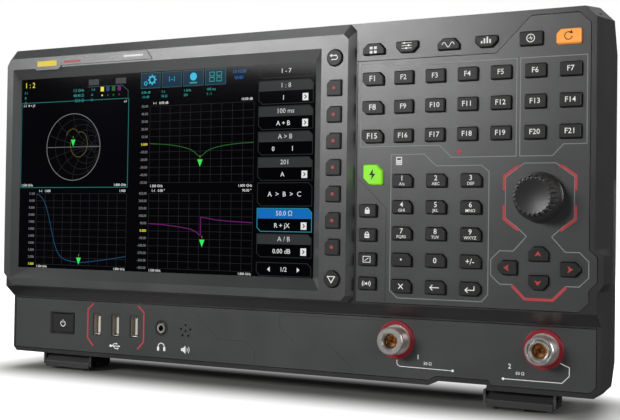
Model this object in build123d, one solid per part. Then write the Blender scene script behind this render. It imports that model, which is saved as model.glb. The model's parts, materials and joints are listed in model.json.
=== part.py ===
"""Bench network analyzer: front panel assembly, keys, knob, ports, case, tilt legs, handle and inner modules.

Millimetres. +X is the viewer's right, the front faces -Y and +Z is up.
The origin is the middle of the footprint, on the surface that the instrument stands on.
"""

from build123d import *
import math
import os

# ---------------------------------------------------------------- driving dimensions
# Depth of each face, front to back
Y_KNOB = -67.5
Y_BEZEL = -57.7
Y_GLASS = -52.8
Y_KEYPAD = -51.8
Y_LOWER = -43.0
Y_RIBS = -40.0
Y_SHELL = -22.0
Y_BACK = 60.0
Y_BUMPER = 67.5
# Heights
Z_BOTTOM = 10.8
Z_LOWER_TOP = 49.0
Z_LEDGE_TOP = 56.2
Z_FRONT_TOP = 219.5
Z_TOP = 224.0
# Widths
X_WIDE = 202.8
X_BACK = 191.0
TOP_CUT = 8.0
LOW_CUT = 4.5
WALL = 3.0
SKIN = 3.0

# Display
GLASS_WINDOW = (-190.9, 35.3, 69.6, 199.0)
BEZEL_BEVEL = (-194.1, 41.1, 62.7, 205.3)
GLASS_THICK = 1.5
LCD_THICK = 6.0

# Keys
GAP = 0.35
FLANGE = 1.1
FLANGE_THICK = 1.2
STOP_GAP = 0.3
KEY_PROUD = 2.0
SOFT_PROUD = 1.5
SOFT_X = 49.9
SOFT_TOP_Z = 181.6
SOFT_PITCH = 15.5
SOFT_SIZE = 9.2
SOFT_COUNT = 7
ROUND_KEY_R = 4.9
ROUND_KEY_Z = (199.3, 70.0)
FUNCTION_X = 72.2
FUNCTION_PITCH_X = 18.88
FUNCTION_Z = 186.4
FUNCTION_PITCH_Z = 16.65
FUNCTION_COLUMNS = 7
FUNCTION_ROWS = 3
NUMBER_X = 91.0
NUMBER_PITCH_X = 20.25
NUMBER_Z = 127.3
NUMBER_PITCH_Z = 15.03
NUMBER_COLUMNS = 3
NUMBER_ROWS = 5
SIDE_X = 69.9
SIDE_Z = 110.0
SIDE_PITCH = 14.0
SIDE_COUNT = 4
TOP_ROW_Z = 203.8
STRIP_KEYS = ("mode_key", "mode_setup_key", "measure_key", "measure_setup_key")
SEAM_Z = 197.0
SEAM_X = (144.6, 163.7)
KEY_EDGE = 0.45
KEY_CORNER_R = 0.7
PLUNGER_R = 2.0
PLUNGER_LENGTH = 0.8

# Tuning knob and arrow pad
KNOB_X = 169.2
KNOB_Z = 118.1
KNOB_FACE_R = 10.6
KNOB_BASE_R = 13.6
KNOB_FLUTES = 24
FLUTE_R = 0.75
FLUTE_LENGTH = 6.0
SKIRT_THICK = 3.0
BUSHING_R = 4.4
SHAFT_R = 3.0
SHAFT_GAP = 0.05
ARROW_MID_Z = 79.6

# Lower panel
POWER_AT = (-159.7, 31.8)
POWER_HALF = (9.6, 6.8)
POWER_CLEARANCE = 0.4
POWER_DEPTH = 7.0
USB_X = (-130.3, -115.1, -100.1)
USB_Z = 32.6
USB_SHELL = (6.8, 14.6)
USB_MOUTH = (5.12, 12.5)
USB_DEPTH = 17.0
USB_MOUTH_DEPTH = 14.0
SPEAKER_HOLE_R = 0.75
SPEAKER_RING_R = 3.7
JACK_AT = (-78.4, 33.0)
JACK_BORE_R = 1.8
JACK_DEPTH = 14.0
JACK_NOSE_R = 2.9
JACK_COLLAR_R = 4.6
SPEAKER_AT = (-59.9, 32.2)
PORT_X = (84.8, 170.2)
PORT_Z = 35.5
PORT_THREAD_R = 7.94
PORT_THREAD_LENGTH = 9.5
PORT_MOUTH_Y = -54.0
PORT_RING_R = 11.2
PORT_BODY_R = 9.0
CONTACT_R = 1.5
CONTACT_BORE_R = 0.85
PORT_BORE_R = 4.2

# Tilt legs, handle and feet
LEG_X = (-156.6, 156.6)
LEG_WIDTH = 37.0
LEG_HINGE = (-38.0, 6.2)
LEG_LENGTH = 20.5
LEG_PAD = (6.0, 21.0)
LEG_PIN_R = 1.6
LEG_EAR_GAP = 0.4
LEG_EAR_THICK = 1.4
HANDLE_HINGE = (24.5, 211.0)
HANDLE_HALF = 70.0
HANDLE_PIN_R = 3.0
HANDLE_REACH = 27.0
HANDLE_BAR = 6.0
HANDLE_BAR_EDGE = 4.5
PIN_CLEARANCE = 0.06
FOOT_AT = (150.0, 42.0)
FOOT_R = (10.0, 11.5)
BUMPER_X = (176.0, 188.0)
BUMPER_Z = (30.0, 196.0)
BUMPER_HALF = 9.0

# Back
PANEL_BOX = (-95.0, 175.0, 35.0, 150.0)
Y_PANEL = 50.0
PANEL_THICK = 1.5
FAN_AT = (-150.0, 100.0)
FAN_SIZE = 60.0
FAN_BORE_R = 28.5
FAN_DEPTH = (40.0, 55.0)
FAN_HUB_R = 12.5
FAN_STUB_R = 2.0
FAN_BLADES = 7
FAN_SLOTS = 9
SIDE_SLOTS = 8
SLOT_HALF = 1.6
BNC_X = (-60.0, -35.0, -10.0, 15.0)
BNC_Z = 125.0
BNC_R = 4.85
BNC_LENGTH = 12.5
LAN_AT = (-70.0, 60.0)
USB_B_AT = (-35.0, 60.0)
VIDEO_AT = (5.0, 60.0)
INLET_AT = (140.0, 62.0)
LOCK_SLOT = (88.0, 95.0, 58.0, 61.0)
BNC_FLANGE_R = 7.4
BNC_BODY_R = 6.0
BNC_BORE_R = 4.05
LAN_SIZE = (16.0, 13.5)
USB_B_SIZE = (12.0, 11.0)
VIDEO_SIZE = (17.0, 7.0)
INLET_SIZE = (28.0, 21.0)
SOCKET_DEPTH = 14.0
CUTOUT_GAP = 0.1

# Inner modules
TRAY_HALF = 184.0
TRAY_Z = 17.0
SHEET = 1.5


# ---------------------------------------------------------------- helpers
def box(x0, x1, y0, y1, z0, z1):
    middle = ((x0 + x1) / 2, (y0 + y1) / 2, (z0 + z1) / 2)
    return Pos(*middle) * Box(x1 - x0, y1 - y0, z1 - z0)


def centred_box(middle, size, y0, y1):
    """A box about an (x, z) point, (width, height) in size, from depth y0 back to y1."""
    (x, z), (width, height) = middle, size
    return box(x - width / 2, x + width / 2, y0, y1, z - height / 2, z + height / 2)


def front_face(outline, y):
    """A face facing the front at depth y, from its (x, z) corners."""
    return make_face(Polyline(*[(x, y, z) for x, z in outline], close=True)).face()


def slab(outline, y0, y1):
    """A prism of an (x, z) outline from depth y0 back to y1."""
    return extrude(front_face(outline, y0), amount=y1 - y0, dir=(0, 1, 0))


def taper(outline_a, y_a, outline_b, y_b):
    """A ruled solid from one outline to another that has as many corners."""
    return loft([front_face(outline_a, y_a), front_face(outline_b, y_b)], ruled=True)


def rod(x, z, y0, y1, radius, end_radius=None):
    """A round bar or cone along Y; end_radius is its radius at y1."""
    place = Pos(x, (y0 + y1) / 2, z) * Rot(90, 0, 0)
    if end_radius is None:
        return place * Cylinder(radius, y1 - y0)
    return place * Cone(end_radius, radius, y1 - y0)


def cross_rod(x0, x1, y, z, radius):
    """A round bar along X."""
    return Pos((x0 + x1) / 2, y, z) * Rot(0, 90, 0) * Cylinder(radius, x1 - x0)


def rectangle(x0, x1, z0, z1):
    return [(x0, z0), (x1, z0), (x1, z1), (x0, z1)]


def clipped(x0, x1, z0, z1, low_left=0.0, low_right=0.0, top_right=0.0, top_left=0.0):
    """A rectangle with cut corners."""
    points = []
    if low_left:
        points += [(x0, z0 + low_left), (x0 + low_left, z0)]
    else:
        points += [(x0, z0)]
    if low_right:
        points += [(x1 - low_right, z0), (x1, z0 + low_right)]
    else:
        points += [(x1, z0)]
    if top_right:
        points += [(x1, z1 - top_right), (x1 - top_right, z1)]
    else:
        points += [(x1, z1)]
    if top_left:
        points += [(x0 + top_left, z1), (x0, z1 - top_left)]
    else:
        points += [(x0, z1)]
    return points


def facing(shape, direction):
    """The shape's edges round its outermost face on that side."""
    axis = Axis((0, 0, 0), direction)
    return shape.faces().sort_by(axis)[-1].edges()


# ---------------------------------------------------------------- keys
def key_outline(shape, x, z):
    """A key's outline at its centre: (width, height, cuts at low left, low right, top right, top left)."""
    width, height, cuts = shape
    return clipped(x - width / 2, x + width / 2, z - height / 2, z + height / 2, *cuts)


def key_face(shape, x, z, y):
    """The key's face, its corners slightly rounded; a number in place of a shape is a round key's radius."""
    if isinstance(shape, float):
        return (Plane((x, y, z), x_dir=(1, 0, 0), z_dir=(0, -1, 0)) * Circle(shape)).face()
    face = front_face(key_outline(shape, x, z), y)
    return face.fillet_2d(KEY_CORNER_R, face.vertices())


def key_prism(shape, x, z, y0, y1, grow=0.0):
    face = key_face(shape, x, z, y0)
    if grow:
        face = offset(face, amount=grow, kind=Kind.ARC).face()
    return extrude(face, amount=y1 - y0, dir=(0, 1, 0))


def key(shape, x, z, y_skin, proud, skin):
    """A key cap with its bevelled edge, the flange that keeps it behind the skin, and its plunger."""
    back = y_skin + skin + STOP_GAP
    cap = key_prism(shape, x, z, y_skin - proud, back + FLANGE_THICK)
    cap = chamfer(facing(cap, (0, -1, 0)), KEY_EDGE)
    flange = key_prism(shape, x, z, back, back + FLANGE_THICK, grow=FLANGE)
    plunger = rod(x, z, back + FLANGE_THICK, back + FLANGE_THICK + PLUNGER_LENGTH, PLUNGER_R)
    return cap + flange + plunger


def key_hole(shape, x, z, y_skin, skin):
    return key_prism(shape, x, z, y_skin - 2, y_skin + skin + 2, grow=GAP)


NO_CUTS = (0, 0, 0, 0)
SOFT = (SOFT_SIZE, SOFT_SIZE, (0, 0, 0, 2.2))
FUNCTION = (11.4, 7.5, NO_CUTS)
FUNCTION_LEFT = (13.0, 7.5, (2.4, 0, 2.4, 0))
NUMBER = (12.0, 7.4, (0, 0, 2.0, 0))
ESCAPE = (12.0, 7.4, (2.0, 0, 2.0, 0))
ENTER = (12.0, 7.4, (0, 2.0, 2.0, 0))
SIDE = (10.8, 7.2, NO_CUTS)


def function_key(column):
    return FUNCTION_LEFT if column == 0 else FUNCTION


def number_key(row, column):
    if row == NUMBER_ROWS - 1 and column == 0:
        return ESCAPE
    if row == NUMBER_ROWS - 1 and column == NUMBER_COLUMNS - 1:
        return ENTER
    return NUMBER


def keypad_layout():
    """Every keypad node's name with its keys: (shape, x, z)."""
    keys = {
        "mode_key": [((13.4, 6.4, (0, 0, 3.0, 3.0)), 72.3, TOP_ROW_Z)],
        "mode_setup_key": [((13.4, 6.4, (3.0, 3.0, 0, 0)), 92.8, TOP_ROW_Z)],
        "measure_key": [((12.6, 6.4, (0, 0, 3.0, 3.0)), 117.5, TOP_ROW_Z)],
        "measure_setup_key": [((12.6, 6.4, (3.0, 3.0, 0, 0)), 139.2, TOP_ROW_Z)],
        "auto_key": [((12.4, 7.6, NO_CUTS), 164.0, TOP_ROW_Z)],
        "preset_key": [((12.8, 7.6, (0, 0, 0, 2.4)), 184.2, TOP_ROW_Z)],
        "quick_key": [((11.4, 11.2, (3.6, 0.0, 3.6, 0.0)), 72.7, 131.0)],
        "side_keys": [(SIDE, SIDE_X, SIDE_Z - SIDE_PITCH * i) for i in range(SIDE_COUNT)],
        "arrow_up_key": [((10.6, 7.6, (0, 0, 2.8, 2.8)), KNOB_X, ARROW_MID_Z + 7.8)],
        "arrow_down_key": [((10.6, 7.6, (2.8, 2.8, 0, 0)), KNOB_X, ARROW_MID_Z - 7.6)],
        "arrow_left_key": [((10.6, 7.6, (2.8, 0, 0, 2.8)), KNOB_X - 17.0, ARROW_MID_Z)],
        "arrow_right_key": [((10.6, 7.6, (0, 2.8, 2.8, 0)), KNOB_X + 17.0, ARROW_MID_Z)],
    }
    for row in range(FUNCTION_ROWS):
        z = FUNCTION_Z - FUNCTION_PITCH_Z * row
        keys[f"function_keys_{row + 1}"] = [
            (function_key(i), FUNCTION_X + FUNCTION_PITCH_X * i, z) for i in range(FUNCTION_COLUMNS)
        ]
    for row in range(NUMBER_ROWS):
        z = NUMBER_Z - NUMBER_PITCH_Z * row
        keys[f"number_keys_{row + 1}"] = [
            (number_key(row, i), NUMBER_X + NUMBER_PITCH_X * i, z) for i in range(NUMBER_COLUMNS)
        ]
    return keys


def bezel_layout():
    """The keys beside the display, on the bezel."""
    keys = {}
    for i in range(SOFT_COUNT):
        keys[f"soft_key_{i + 1}"] = (SOFT, SOFT_X, SOFT_TOP_Z - SOFT_PITCH * i)
    keys["return_key"] = (ROUND_KEY_R, SOFT_X, ROUND_KEY_Z[0])
    keys["page_key"] = (ROUND_KEY_R, SOFT_X, ROUND_KEY_Z[1])
    return keys


def keypad_keys():
    return {
        name: Compound(children=[key(shape, x, z, Y_KEYPAD, KEY_PROUD, SKIN) for shape, x, z in keys])
        for name, keys in keypad_layout().items()
    }


def bezel_keys():
    skin = Y_KEYPAD - Y_BEZEL
    return {name: key(shape, x, z, Y_BEZEL, SOFT_PROUD, skin) for name, (shape, x, z) in bezel_layout().items()}


def power_key():
    """The push button in its recess, its face level with the panel."""
    wide, tall = POWER_HALF
    back = Y_LOWER + POWER_DEPTH
    face = (2 * wide - 2 * POWER_CLEARANCE, 2 * tall - 2 * POWER_CLEARANCE)
    cap = chamfer(facing(centred_box(POWER_AT, face, Y_LOWER + 0.6, back), (0, -1, 0)), 0.6)
    return cap + centred_box(POWER_AT, (2 * wide + 2, 2 * tall + 2), back, back + FLANGE_THICK)


# ---------------------------------------------------------------- front panel assembly
def plate_outline(inset=0.0):
    """The keypad plate's outline: a shoulder on its right edge, and a step round the frame's top strip."""
    low, high, right, ear = Z_LEDGE_TOP + 1.0, 216.3, 195.6, 199.8
    return [
        (62.2 + inset, low + inset),
        (190.5, low + inset),
        (right - inset, 62.0),
        (right - inset, 68.5),
        (ear - inset, 73.0),
        (ear - inset, 86.3),
        (right - inset, 90.0),
        (right - inset, 210.5),
        (189.4, high - inset),
        (SEAM_X[1], high - inset),
        (SEAM_X[0], SEAM_Z - inset),
        (62.2 + inset, SEAM_Z - inset),
    ]


def lower_outline(inset=0.0):
    return [
        (-200.6 + inset, 13.8 + inset),
        (104.5, 13.8 + inset),
        (109.0, 16.4 + inset),
        (139.6, 16.4 + inset),
        (141.4, 13.8 + inset),
        (195.2, 13.8 + inset),
        (198.2 - inset, 16.8),
        (198.2 - inset, Z_LOWER_TOP - 1.2 - inset),
        (-200.6 + inset, Z_LOWER_TOP - 1.2 - inset),
    ]


def front_frame():
    """The moulded frame: side cheeks, the ledge over the lower panel, and the ribs behind the skins."""
    at_front = [
        (-200.4, Z_BOTTOM),
        (196.6, Z_BOTTOM),
        (199.9, 14.2),
        (199.9, 67.5),
        (203.3, 72.0),
        (203.3, 87.0),
        (198.7, 91.0),
        (198.7, 213.5),
        (192.7, Z_FRONT_TOP),
        (-196.0, Z_FRONT_TOP),
        (-202.4, 213.0),
        (-202.4, 13.0),
    ]
    at_shell = [
        (LOW_CUT - X_WIDE, Z_BOTTOM),
        (X_WIDE - LOW_CUT, Z_BOTTOM),
        (X_WIDE, Z_BOTTOM + LOW_CUT),
        (X_WIDE, 67.5),
        (X_WIDE, 72.0),
        (X_WIDE, 87.0),
        (X_WIDE, 91.0),
        (X_WIDE, Z_TOP - TOP_CUT),
        (X_WIDE - TOP_CUT, Z_TOP),
        (TOP_CUT - X_WIDE, Z_TOP),
        (-X_WIDE, Z_TOP - TOP_CUT),
        (-X_WIDE, Z_BOTTOM + LOW_CUT),
    ]
    frame = taper(at_front, Y_KEYPAD, at_shell, Y_SHELL)
    ledge = [(-60, -5), (Y_LOWER, -5), (Y_LOWER, Z_LOWER_TOP), (Y_KEYPAD, Z_LEDGE_TOP), (-60, Z_LEDGE_TOP)]
    ledge_face = make_face(Polyline(*[(-250, y, z) for y, z in ledge], close=True)).face()
    frame -= extrude(ledge_face, amount=500, dir=(1, 0, 0))
    scoop = [(104.6, 0), (104.6, Z_BOTTOM), (109.8, 13.6), (138.6, 13.6), (138.6, 0)]
    frame -= slab(scoop, -60, Y_SHELL + 1)
    frame -= box(-196.5, 57.6, -60, Y_RIBS + 1, 60.0, 209.0)
    frame -= box(62.9, 194.0, Y_KEYPAD + SKIN - 0.01, Y_RIBS + 1, 60.0, 213.0)
    frame -= box(-197.0, 193.5, -60, Y_RIBS + 1, 19.0, 46.5)
    frame -= box(-198.5, 198.5, Y_RIBS, Y_SHELL + 1, 16.5, 217.5)
    frame -= slab(plate_outline(-GAP), -60, Y_KEYPAD + SKIN)
    frame -= slab(lower_outline(-GAP), -60, Y_LOWER + SKIN)
    for name in STRIP_KEYS:
        for shape, x, z in keypad_layout()[name]:
            frame -= key_hole(shape, x, z, Y_KEYPAD, SKIN)
    return frame


def display_bezel():
    """The raised surround of the display, with its sloped rim and the soft key column."""
    base = clipped(-202.2, 61.2, Z_LEDGE_TOP, Z_FRONT_TOP, 9.0, 4.0, 4.0, 6.0)
    front = clipped(-199.4, 58.2, 57.6, 212.7, 8.0, 3.0, 3.0, 4.5)
    bezel = taper(front, Y_BEZEL, base, Y_KEYPAD)
    mouth = rectangle(*BEZEL_BEVEL)
    window = rectangle(*GLASS_WINDOW)
    bezel -= taper(mouth, Y_BEZEL, window, Y_GLASS)
    bezel -= slab(window, Y_GLASS - 0.01, Y_KEYPAD + 1)
    x0, x1, z0, z1 = GLASS_WINDOW
    bezel -= box(x0 - 3.2, x1 + 3.2, Y_GLASS, Y_KEYPAD + 1, z0 - 3.2, z1 + 3.2)
    for shape, x, z in bezel_layout().values():
        bezel -= key_hole(shape, x, z, Y_BEZEL, Y_KEYPAD - Y_BEZEL)
    return bezel


def touch_glass():
    x0, x1, z0, z1 = GLASS_WINDOW
    return box(x0 - 3.0, x1 + 3.0, Y_GLASS, Y_GLASS + GLASS_THICK, z0 - 3.0, z1 + 3.0)


def lcd_module():
    x0, x1, z0, z1 = GLASS_WINDOW
    front = Y_GLASS + GLASS_THICK
    return box(x0 - 2.0, x1 + 2.0, front, front + LCD_THICK, z0 - 2.5, z1 + 2.5)


def keypad_plate():
    """The plate that the keypad's keys stand through, except the four in the frame's top strip."""
    plate = slab(plate_outline(), Y_KEYPAD, Y_KEYPAD + SKIN)
    for name, keys in keypad_layout().items():
        if name in STRIP_KEYS:
            continue
        for shape, x, z in keys:
            plate -= key_hole(shape, x, z, Y_KEYPAD, SKIN)
    return plate - rod(KNOB_X, KNOB_Z, Y_KEYPAD - 1, Y_KEYPAD + SKIN + 1, BUSHING_R + 0.6)


def speaker_points():
    x, z = SPEAKER_AT
    around = [math.radians(90 + 72 * i) for i in range(5)]
    return [(x, z)] + [(x + SPEAKER_RING_R * math.cos(a), z + SPEAKER_RING_R * math.sin(a)) for a in around]


def lower_panel():
    """The connector panel under the display and keypad."""
    front, back = Y_LOWER, Y_LOWER + SKIN
    panel = slab(lower_outline(), front, back)
    x, z = POWER_AT
    wide, tall = POWER_HALF
    panel += centred_box(POWER_AT, (2 * wide + 4, 2 * tall + 4), back, back + 3.4)
    panel -= centred_box(POWER_AT, (2 * wide, 2 * tall), front - 1, back + 4)
    mouth = rectangle(x - wide - 1, x + wide + 1, z - tall - 1, z + tall + 1)
    throat = rectangle(x - wide, x + wide, z - tall, z + tall)
    panel -= taper(mouth, front - 0.01, throat, front + 1.4)
    for x in USB_X:
        opening = (USB_SHELL[0] + 2 * CUTOUT_GAP, USB_SHELL[1] + 2 * CUTOUT_GAP)
        panel -= centred_box((x, USB_Z), opening, front - 1, back + 1)
    panel -= rod(*JACK_AT, front - 1, back + 1, JACK_COLLAR_R + 0.3)
    for x, z in speaker_points():
        panel -= rod(x, z, front - 1, back + 1, SPEAKER_HOLE_R)
    for x in PORT_X:
        panel -= rod(x, PORT_Z, front - 1, back + 1, PORT_BODY_R + 0.2)
    return panel


def key_boards():
    """The two circuit boards behind the soft keys and the keypad."""
    soft = box(43.0, 56.8, -48.2, -46.7, 64.0, 206.0)
    pad = box(65.2, 193.0, -44.7, -43.1, 61.5, 211.0)
    pad -= rod(KNOB_X, KNOB_Z, -46, -42, 3.4)
    return Compound(children=[soft, pad])


def knob_encoder():
    """The rotary encoder: body, bushing through the plate, and shaft."""
    body = box(KNOB_X - 6, KNOB_X + 6, -48.6, -44.7, KNOB_Z - 6, KNOB_Z + 6)
    bushing = rod(KNOB_X, KNOB_Z, -53.0, -48.6, BUSHING_R)
    shaft = rod(KNOB_X, KNOB_Z, -63.0, -53.0, SHAFT_R)
    return body + bushing + shaft


def tuning_knob():
    """The fluted knob, wider at its base, hollow over the encoder's bushing."""
    base_y = Y_KEYPAD - 0.6
    skirt_y = base_y - SKIRT_THICK
    knob = rod(KNOB_X, KNOB_Z, skirt_y, base_y, KNOB_BASE_R - 0.2, KNOB_BASE_R)
    knob += rod(KNOB_X, KNOB_Z, Y_KNOB, skirt_y, KNOB_FACE_R, KNOB_BASE_R - 0.9)
    knob = chamfer(facing(knob, (0, -1, 0)), 0.7)
    for i in range(KNOB_FLUTES):
        angle = 2 * math.pi * i / KNOB_FLUTES
        x = KNOB_X + (KNOB_FACE_R + 0.35) * math.cos(angle)
        z = KNOB_Z + (KNOB_FACE_R + 0.35) * math.sin(angle)
        knob -= rod(x, z, Y_KNOB - 1, Y_KNOB + FLUTE_LENGTH, FLUTE_R)
    knob -= rod(KNOB_X, KNOB_Z, -54.4, base_y + 1, 6.0)
    knob -= rod(KNOB_X, KNOB_Z, -63.8, base_y + 1, SHAFT_R + SHAFT_GAP)
    return knob


# ---------------------------------------------------------------- front connectors
def usb_ports():
    """Upright type A sockets: a folded shell with its tongue."""
    ports = []
    for x in USB_X:
        shell = centred_box((x, USB_Z), USB_SHELL, Y_LOWER + 0.2, Y_LOWER + USB_DEPTH)
        shell -= centred_box((x, USB_Z), USB_MOUTH, Y_LOWER - 1, Y_LOWER + USB_MOUTH_DEPTH)
        shell += box(x - 0.1, x + 1.7, Y_LOWER + 1.4, Y_LOWER + 14.5, USB_Z - 5.6, USB_Z + 5.6)
        ports.append(shell)
    return Compound(children=ports)


def headphone_jack():
    x, z = JACK_AT
    jack = rod(x, z, Y_LOWER + 1.0, Y_LOWER + 3.0, JACK_COLLAR_R)
    jack += rod(x, z, Y_LOWER - 0.6, Y_LOWER + 1.0, JACK_NOSE_R)
    jack += box(x - 5.5, x + 5.5, Y_LOWER + 3.0, Y_LOWER + 16.0, z - 5.0, z + 5.0)
    return jack - rod(x, z, Y_LOWER - 1, Y_LOWER - 0.6 + JACK_DEPTH, JACK_BORE_R)


def port_connectors():
    """Type N sockets: threaded barrel, shoulder and body."""
    ports = []
    for x in PORT_X:
        port = rod(x, PORT_Z, PORT_MOUTH_Y, PORT_MOUTH_Y + PORT_THREAD_LENGTH, PORT_THREAD_R)
        port += rod(x, PORT_Z, PORT_MOUTH_Y, Y_LOWER + 1, PORT_THREAD_R - 0.8)
        port += rod(x, PORT_Z, Y_LOWER + 1, Y_LOWER + 7, PORT_BODY_R)
        port -= rod(x, PORT_Z, PORT_MOUTH_Y - 1, PORT_MOUTH_Y + PORT_THREAD_LENGTH, PORT_BORE_R)
        port -= rod(x, PORT_Z, PORT_MOUTH_Y - 0.01, PORT_MOUTH_Y + 1.2, 5.6, PORT_BORE_R)
        ports.append(port)
    return Compound(children=ports)


def port_contacts():
    """The centre contacts, each a slotted tube in its insulator's middle."""
    contacts = []
    for x in PORT_X:
        contact = rod(x, PORT_Z, PORT_MOUTH_Y + 2.2, PORT_MOUTH_Y + PORT_THREAD_LENGTH, CONTACT_R)
        contacts.append(contact - rod(x, PORT_Z, PORT_MOUTH_Y + 2, PORT_MOUTH_Y + 8.0, CONTACT_BORE_R))
    return Compound(children=contacts)


def port_rings():
    """The coloured rings round the ports."""
    rings = []
    for x in PORT_X:
        ring = rod(x, PORT_Z, Y_LOWER - 1.0, Y_LOWER, PORT_RING_R - 0.5, PORT_RING_R)
        rings.append(ring - rod(x, PORT_Z, Y_LOWER - 2, Y_LOWER + 1, PORT_RING_R - 2.4))
    return Compound(children=rings)


# ---------------------------------------------------------------- case
def shell_outline(x, low, high, low_cut, top_cut):
    return clipped(-x, x, low, high, low_cut, low_cut, top_cut, top_cut)


def rear_shell():
    """The case behind the front: tapered walls, vents, the connector recess and the handle recess."""
    outer = taper(
        shell_outline(X_WIDE, Z_BOTTOM, Z_TOP, LOW_CUT, TOP_CUT),
        Y_SHELL,
        shell_outline(X_BACK, Z_BOTTOM, Z_TOP - 2, LOW_CUT + 3, TOP_CUT + 3),
        Y_BACK,
    )
    inner = taper(
        shell_outline(X_WIDE - WALL, Z_BOTTOM + WALL, Z_TOP - WALL, LOW_CUT - 1, TOP_CUT - 1),
        Y_SHELL - 0.01,
        shell_outline(X_BACK - WALL, Z_BOTTOM + WALL, Z_TOP - 2 - WALL, LOW_CUT + 2, TOP_CUT + 2),
        Y_BACK - WALL,
    )
    shell = outer - inner
    x0, x1, z0, z1 = PANEL_BOX
    shell += box(x0 - 3, x1 + 3, Y_PANEL - 3, Y_BACK - 1, z0 - 3, z1 + 3)
    shell -= box(x0, x1, Y_PANEL, Y_BACK + 1, z0, z1)
    shell -= box(x0 + 4, x1 - 4, Y_PANEL - 4, Y_BACK + 1, z0 + 4, z1 - 4)
    half = HANDLE_HALF + 5.0
    hinge_y, hinge_z = HANDLE_HINGE
    shell += box(-half - 3, half + 3, hinge_y - 11, Y_BACK - 0.5, 197.0, Z_TOP - 2.2)
    shell -= box(-half, half, hinge_y - 8, Y_BACK + 1, 200.0, Z_TOP + 1)
    shell -= cross_rod(-half - 4, half + 4, hinge_y, hinge_z, HANDLE_PIN_R + PIN_CLEARANCE)
    for i in range(FAN_SLOTS):
        z = FAN_AT[1] - 24 + 6 * i
        shell -= box(FAN_AT[0] - 25, FAN_AT[0] + 25, Y_BACK - 4, Y_BACK + 1, z - SLOT_HALF, z + SLOT_HALF)
    for i in range(SIDE_SLOTS):
        y = -4 + 7 * i
        shell -= box(-220, 220, y - SLOT_HALF, y + SLOT_HALF, 70, 130)
    return shell


def rear_panel():
    """The metal connector panel, with a cut-out for each connector and a lock slot."""
    x0, x1, z0, z1 = PANEL_BOX
    y0, y1 = Y_PANEL - 1, Y_PANEL + PANEL_THICK + 1
    panel = box(x0 + 0.5, x1 - 0.5, Y_PANEL, Y_PANEL + PANEL_THICK, z0 + 0.5, z1 - 0.5)
    for x in BNC_X:
        panel -= rod(x, BNC_Z, y0, y1, BNC_BODY_R + 0.2)
    sockets = ((LAN_AT, LAN_SIZE), (USB_B_AT, USB_B_SIZE), (VIDEO_AT, VIDEO_SIZE), (INLET_AT, INLET_SIZE))
    for middle, (width, height) in sockets:
        panel -= centred_box(middle, (width + 2 * CUTOUT_GAP, height + 2 * CUTOUT_GAP), y0, y1)
    slot_x0, slot_x1, slot_z0, slot_z1 = LOCK_SLOT
    return panel - box(slot_x0, slot_x1, y0, y1, slot_z0, slot_z1)


def tilt_leg(x):
    """A fold-out leg: a block that hinges at its front end, with a pad under its inner half."""
    hinge_y, hinge_z = LEG_HINGE
    half = LEG_WIDTH / 2
    tip = hinge_y + LEG_LENGTH
    profile = [
        (hinge_y - 3.4, hinge_z - 0.8),
        (hinge_y + 0.6, hinge_z + 3.8),
        (tip - 2.0, hinge_z + 3.8),
        (tip, hinge_z + 1.8),
        (tip, hinge_z - 2.0),
        (tip - 3.0, hinge_z - 4.7),
        (hinge_y - 3.0, hinge_z - 4.7),
        (hinge_y - 3.4, hinge_z - 4.3),
    ]
    side = make_face(Polyline(*[(x - half, y, z) for y, z in profile], close=True)).face()
    leg = extrude(side, amount=LEG_WIDTH, dir=(1, 0, 0))
    inward = -math.copysign(1, x)
    near, far = sorted(x + inward * (half - edge) for edge in LEG_PAD)
    leg += box(near, far, hinge_y - 0.5, hinge_y + 12, 0, 3.0)
    leg -= cross_rod(x - half - 1, x + half + 1, hinge_y, hinge_z, LEG_PIN_R + PIN_CLEARANCE)
    return leg


def leg_pins():
    """The steel hinge pins of the tilt legs, held by thin ears under the frame."""
    hinge_y, hinge_z = LEG_HINGE
    parts = []
    for x in LEG_X:
        inner = LEG_WIDTH / 2 + LEG_EAR_GAP
        outer = inner + LEG_EAR_THICK
        pin = cross_rod(x - outer, x + outer, hinge_y, hinge_z, LEG_PIN_R)
        for side in (-1, 1):
            near, far = sorted((x + side * inner, x + side * outer))
            pin += box(near, far, hinge_y - 3, hinge_y + 3, hinge_z - 3, Z_BOTTOM)
        parts.append(pin)
    return Compound(children=parts)


def carry_handle():
    """The bail handle, lying in its recess, with a pin at each end."""
    hinge_y, hinge_z = HANDLE_HINGE
    half = HANDLE_HALF
    end, low, high = hinge_y + HANDLE_REACH, hinge_z - HANDLE_BAR, hinge_z + HANDLE_BAR
    bar = box(-half, half, end - HANDLE_BAR, end + HANDLE_BAR, low, high)
    bar = fillet(bar.edges().filter_by(Axis.X), HANDLE_BAR_EDGE)
    handle = bar
    for side in (-1, 1):
        near, far = sorted((side * half, side * (half - 9)))
        arm = box(near, far, hinge_y, end, low, high)
        arm += cross_rod(near, far, hinge_y, hinge_z, HANDLE_BAR)
        near, far = sorted((side * (half - 1), side * (half + 7.6)))
        handle += arm + cross_rod(near, far, hinge_y, hinge_z, HANDLE_PIN_R)
    return handle


def rubber_feet():
    """Two feet under the back, and a bumper at each back corner."""
    x, y = FOOT_AT
    parts = []
    for side in (-1, 1):
        foot = Pos(side * x, y, Z_BOTTOM / 2) * Cone(*FOOT_R, Z_BOTTOM)
        parts.append(foot)
        for z in BUMPER_Z:
            near, far = sorted(side * edge for edge in BUMPER_X)
            bumper = box(near, far, Y_BACK, Y_BUMPER, z - BUMPER_HALF, z + BUMPER_HALF)
            parts.append(chamfer(facing(bumper, (0, 1, 0)), 2.0))
    return Compound(children=parts)


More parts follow.
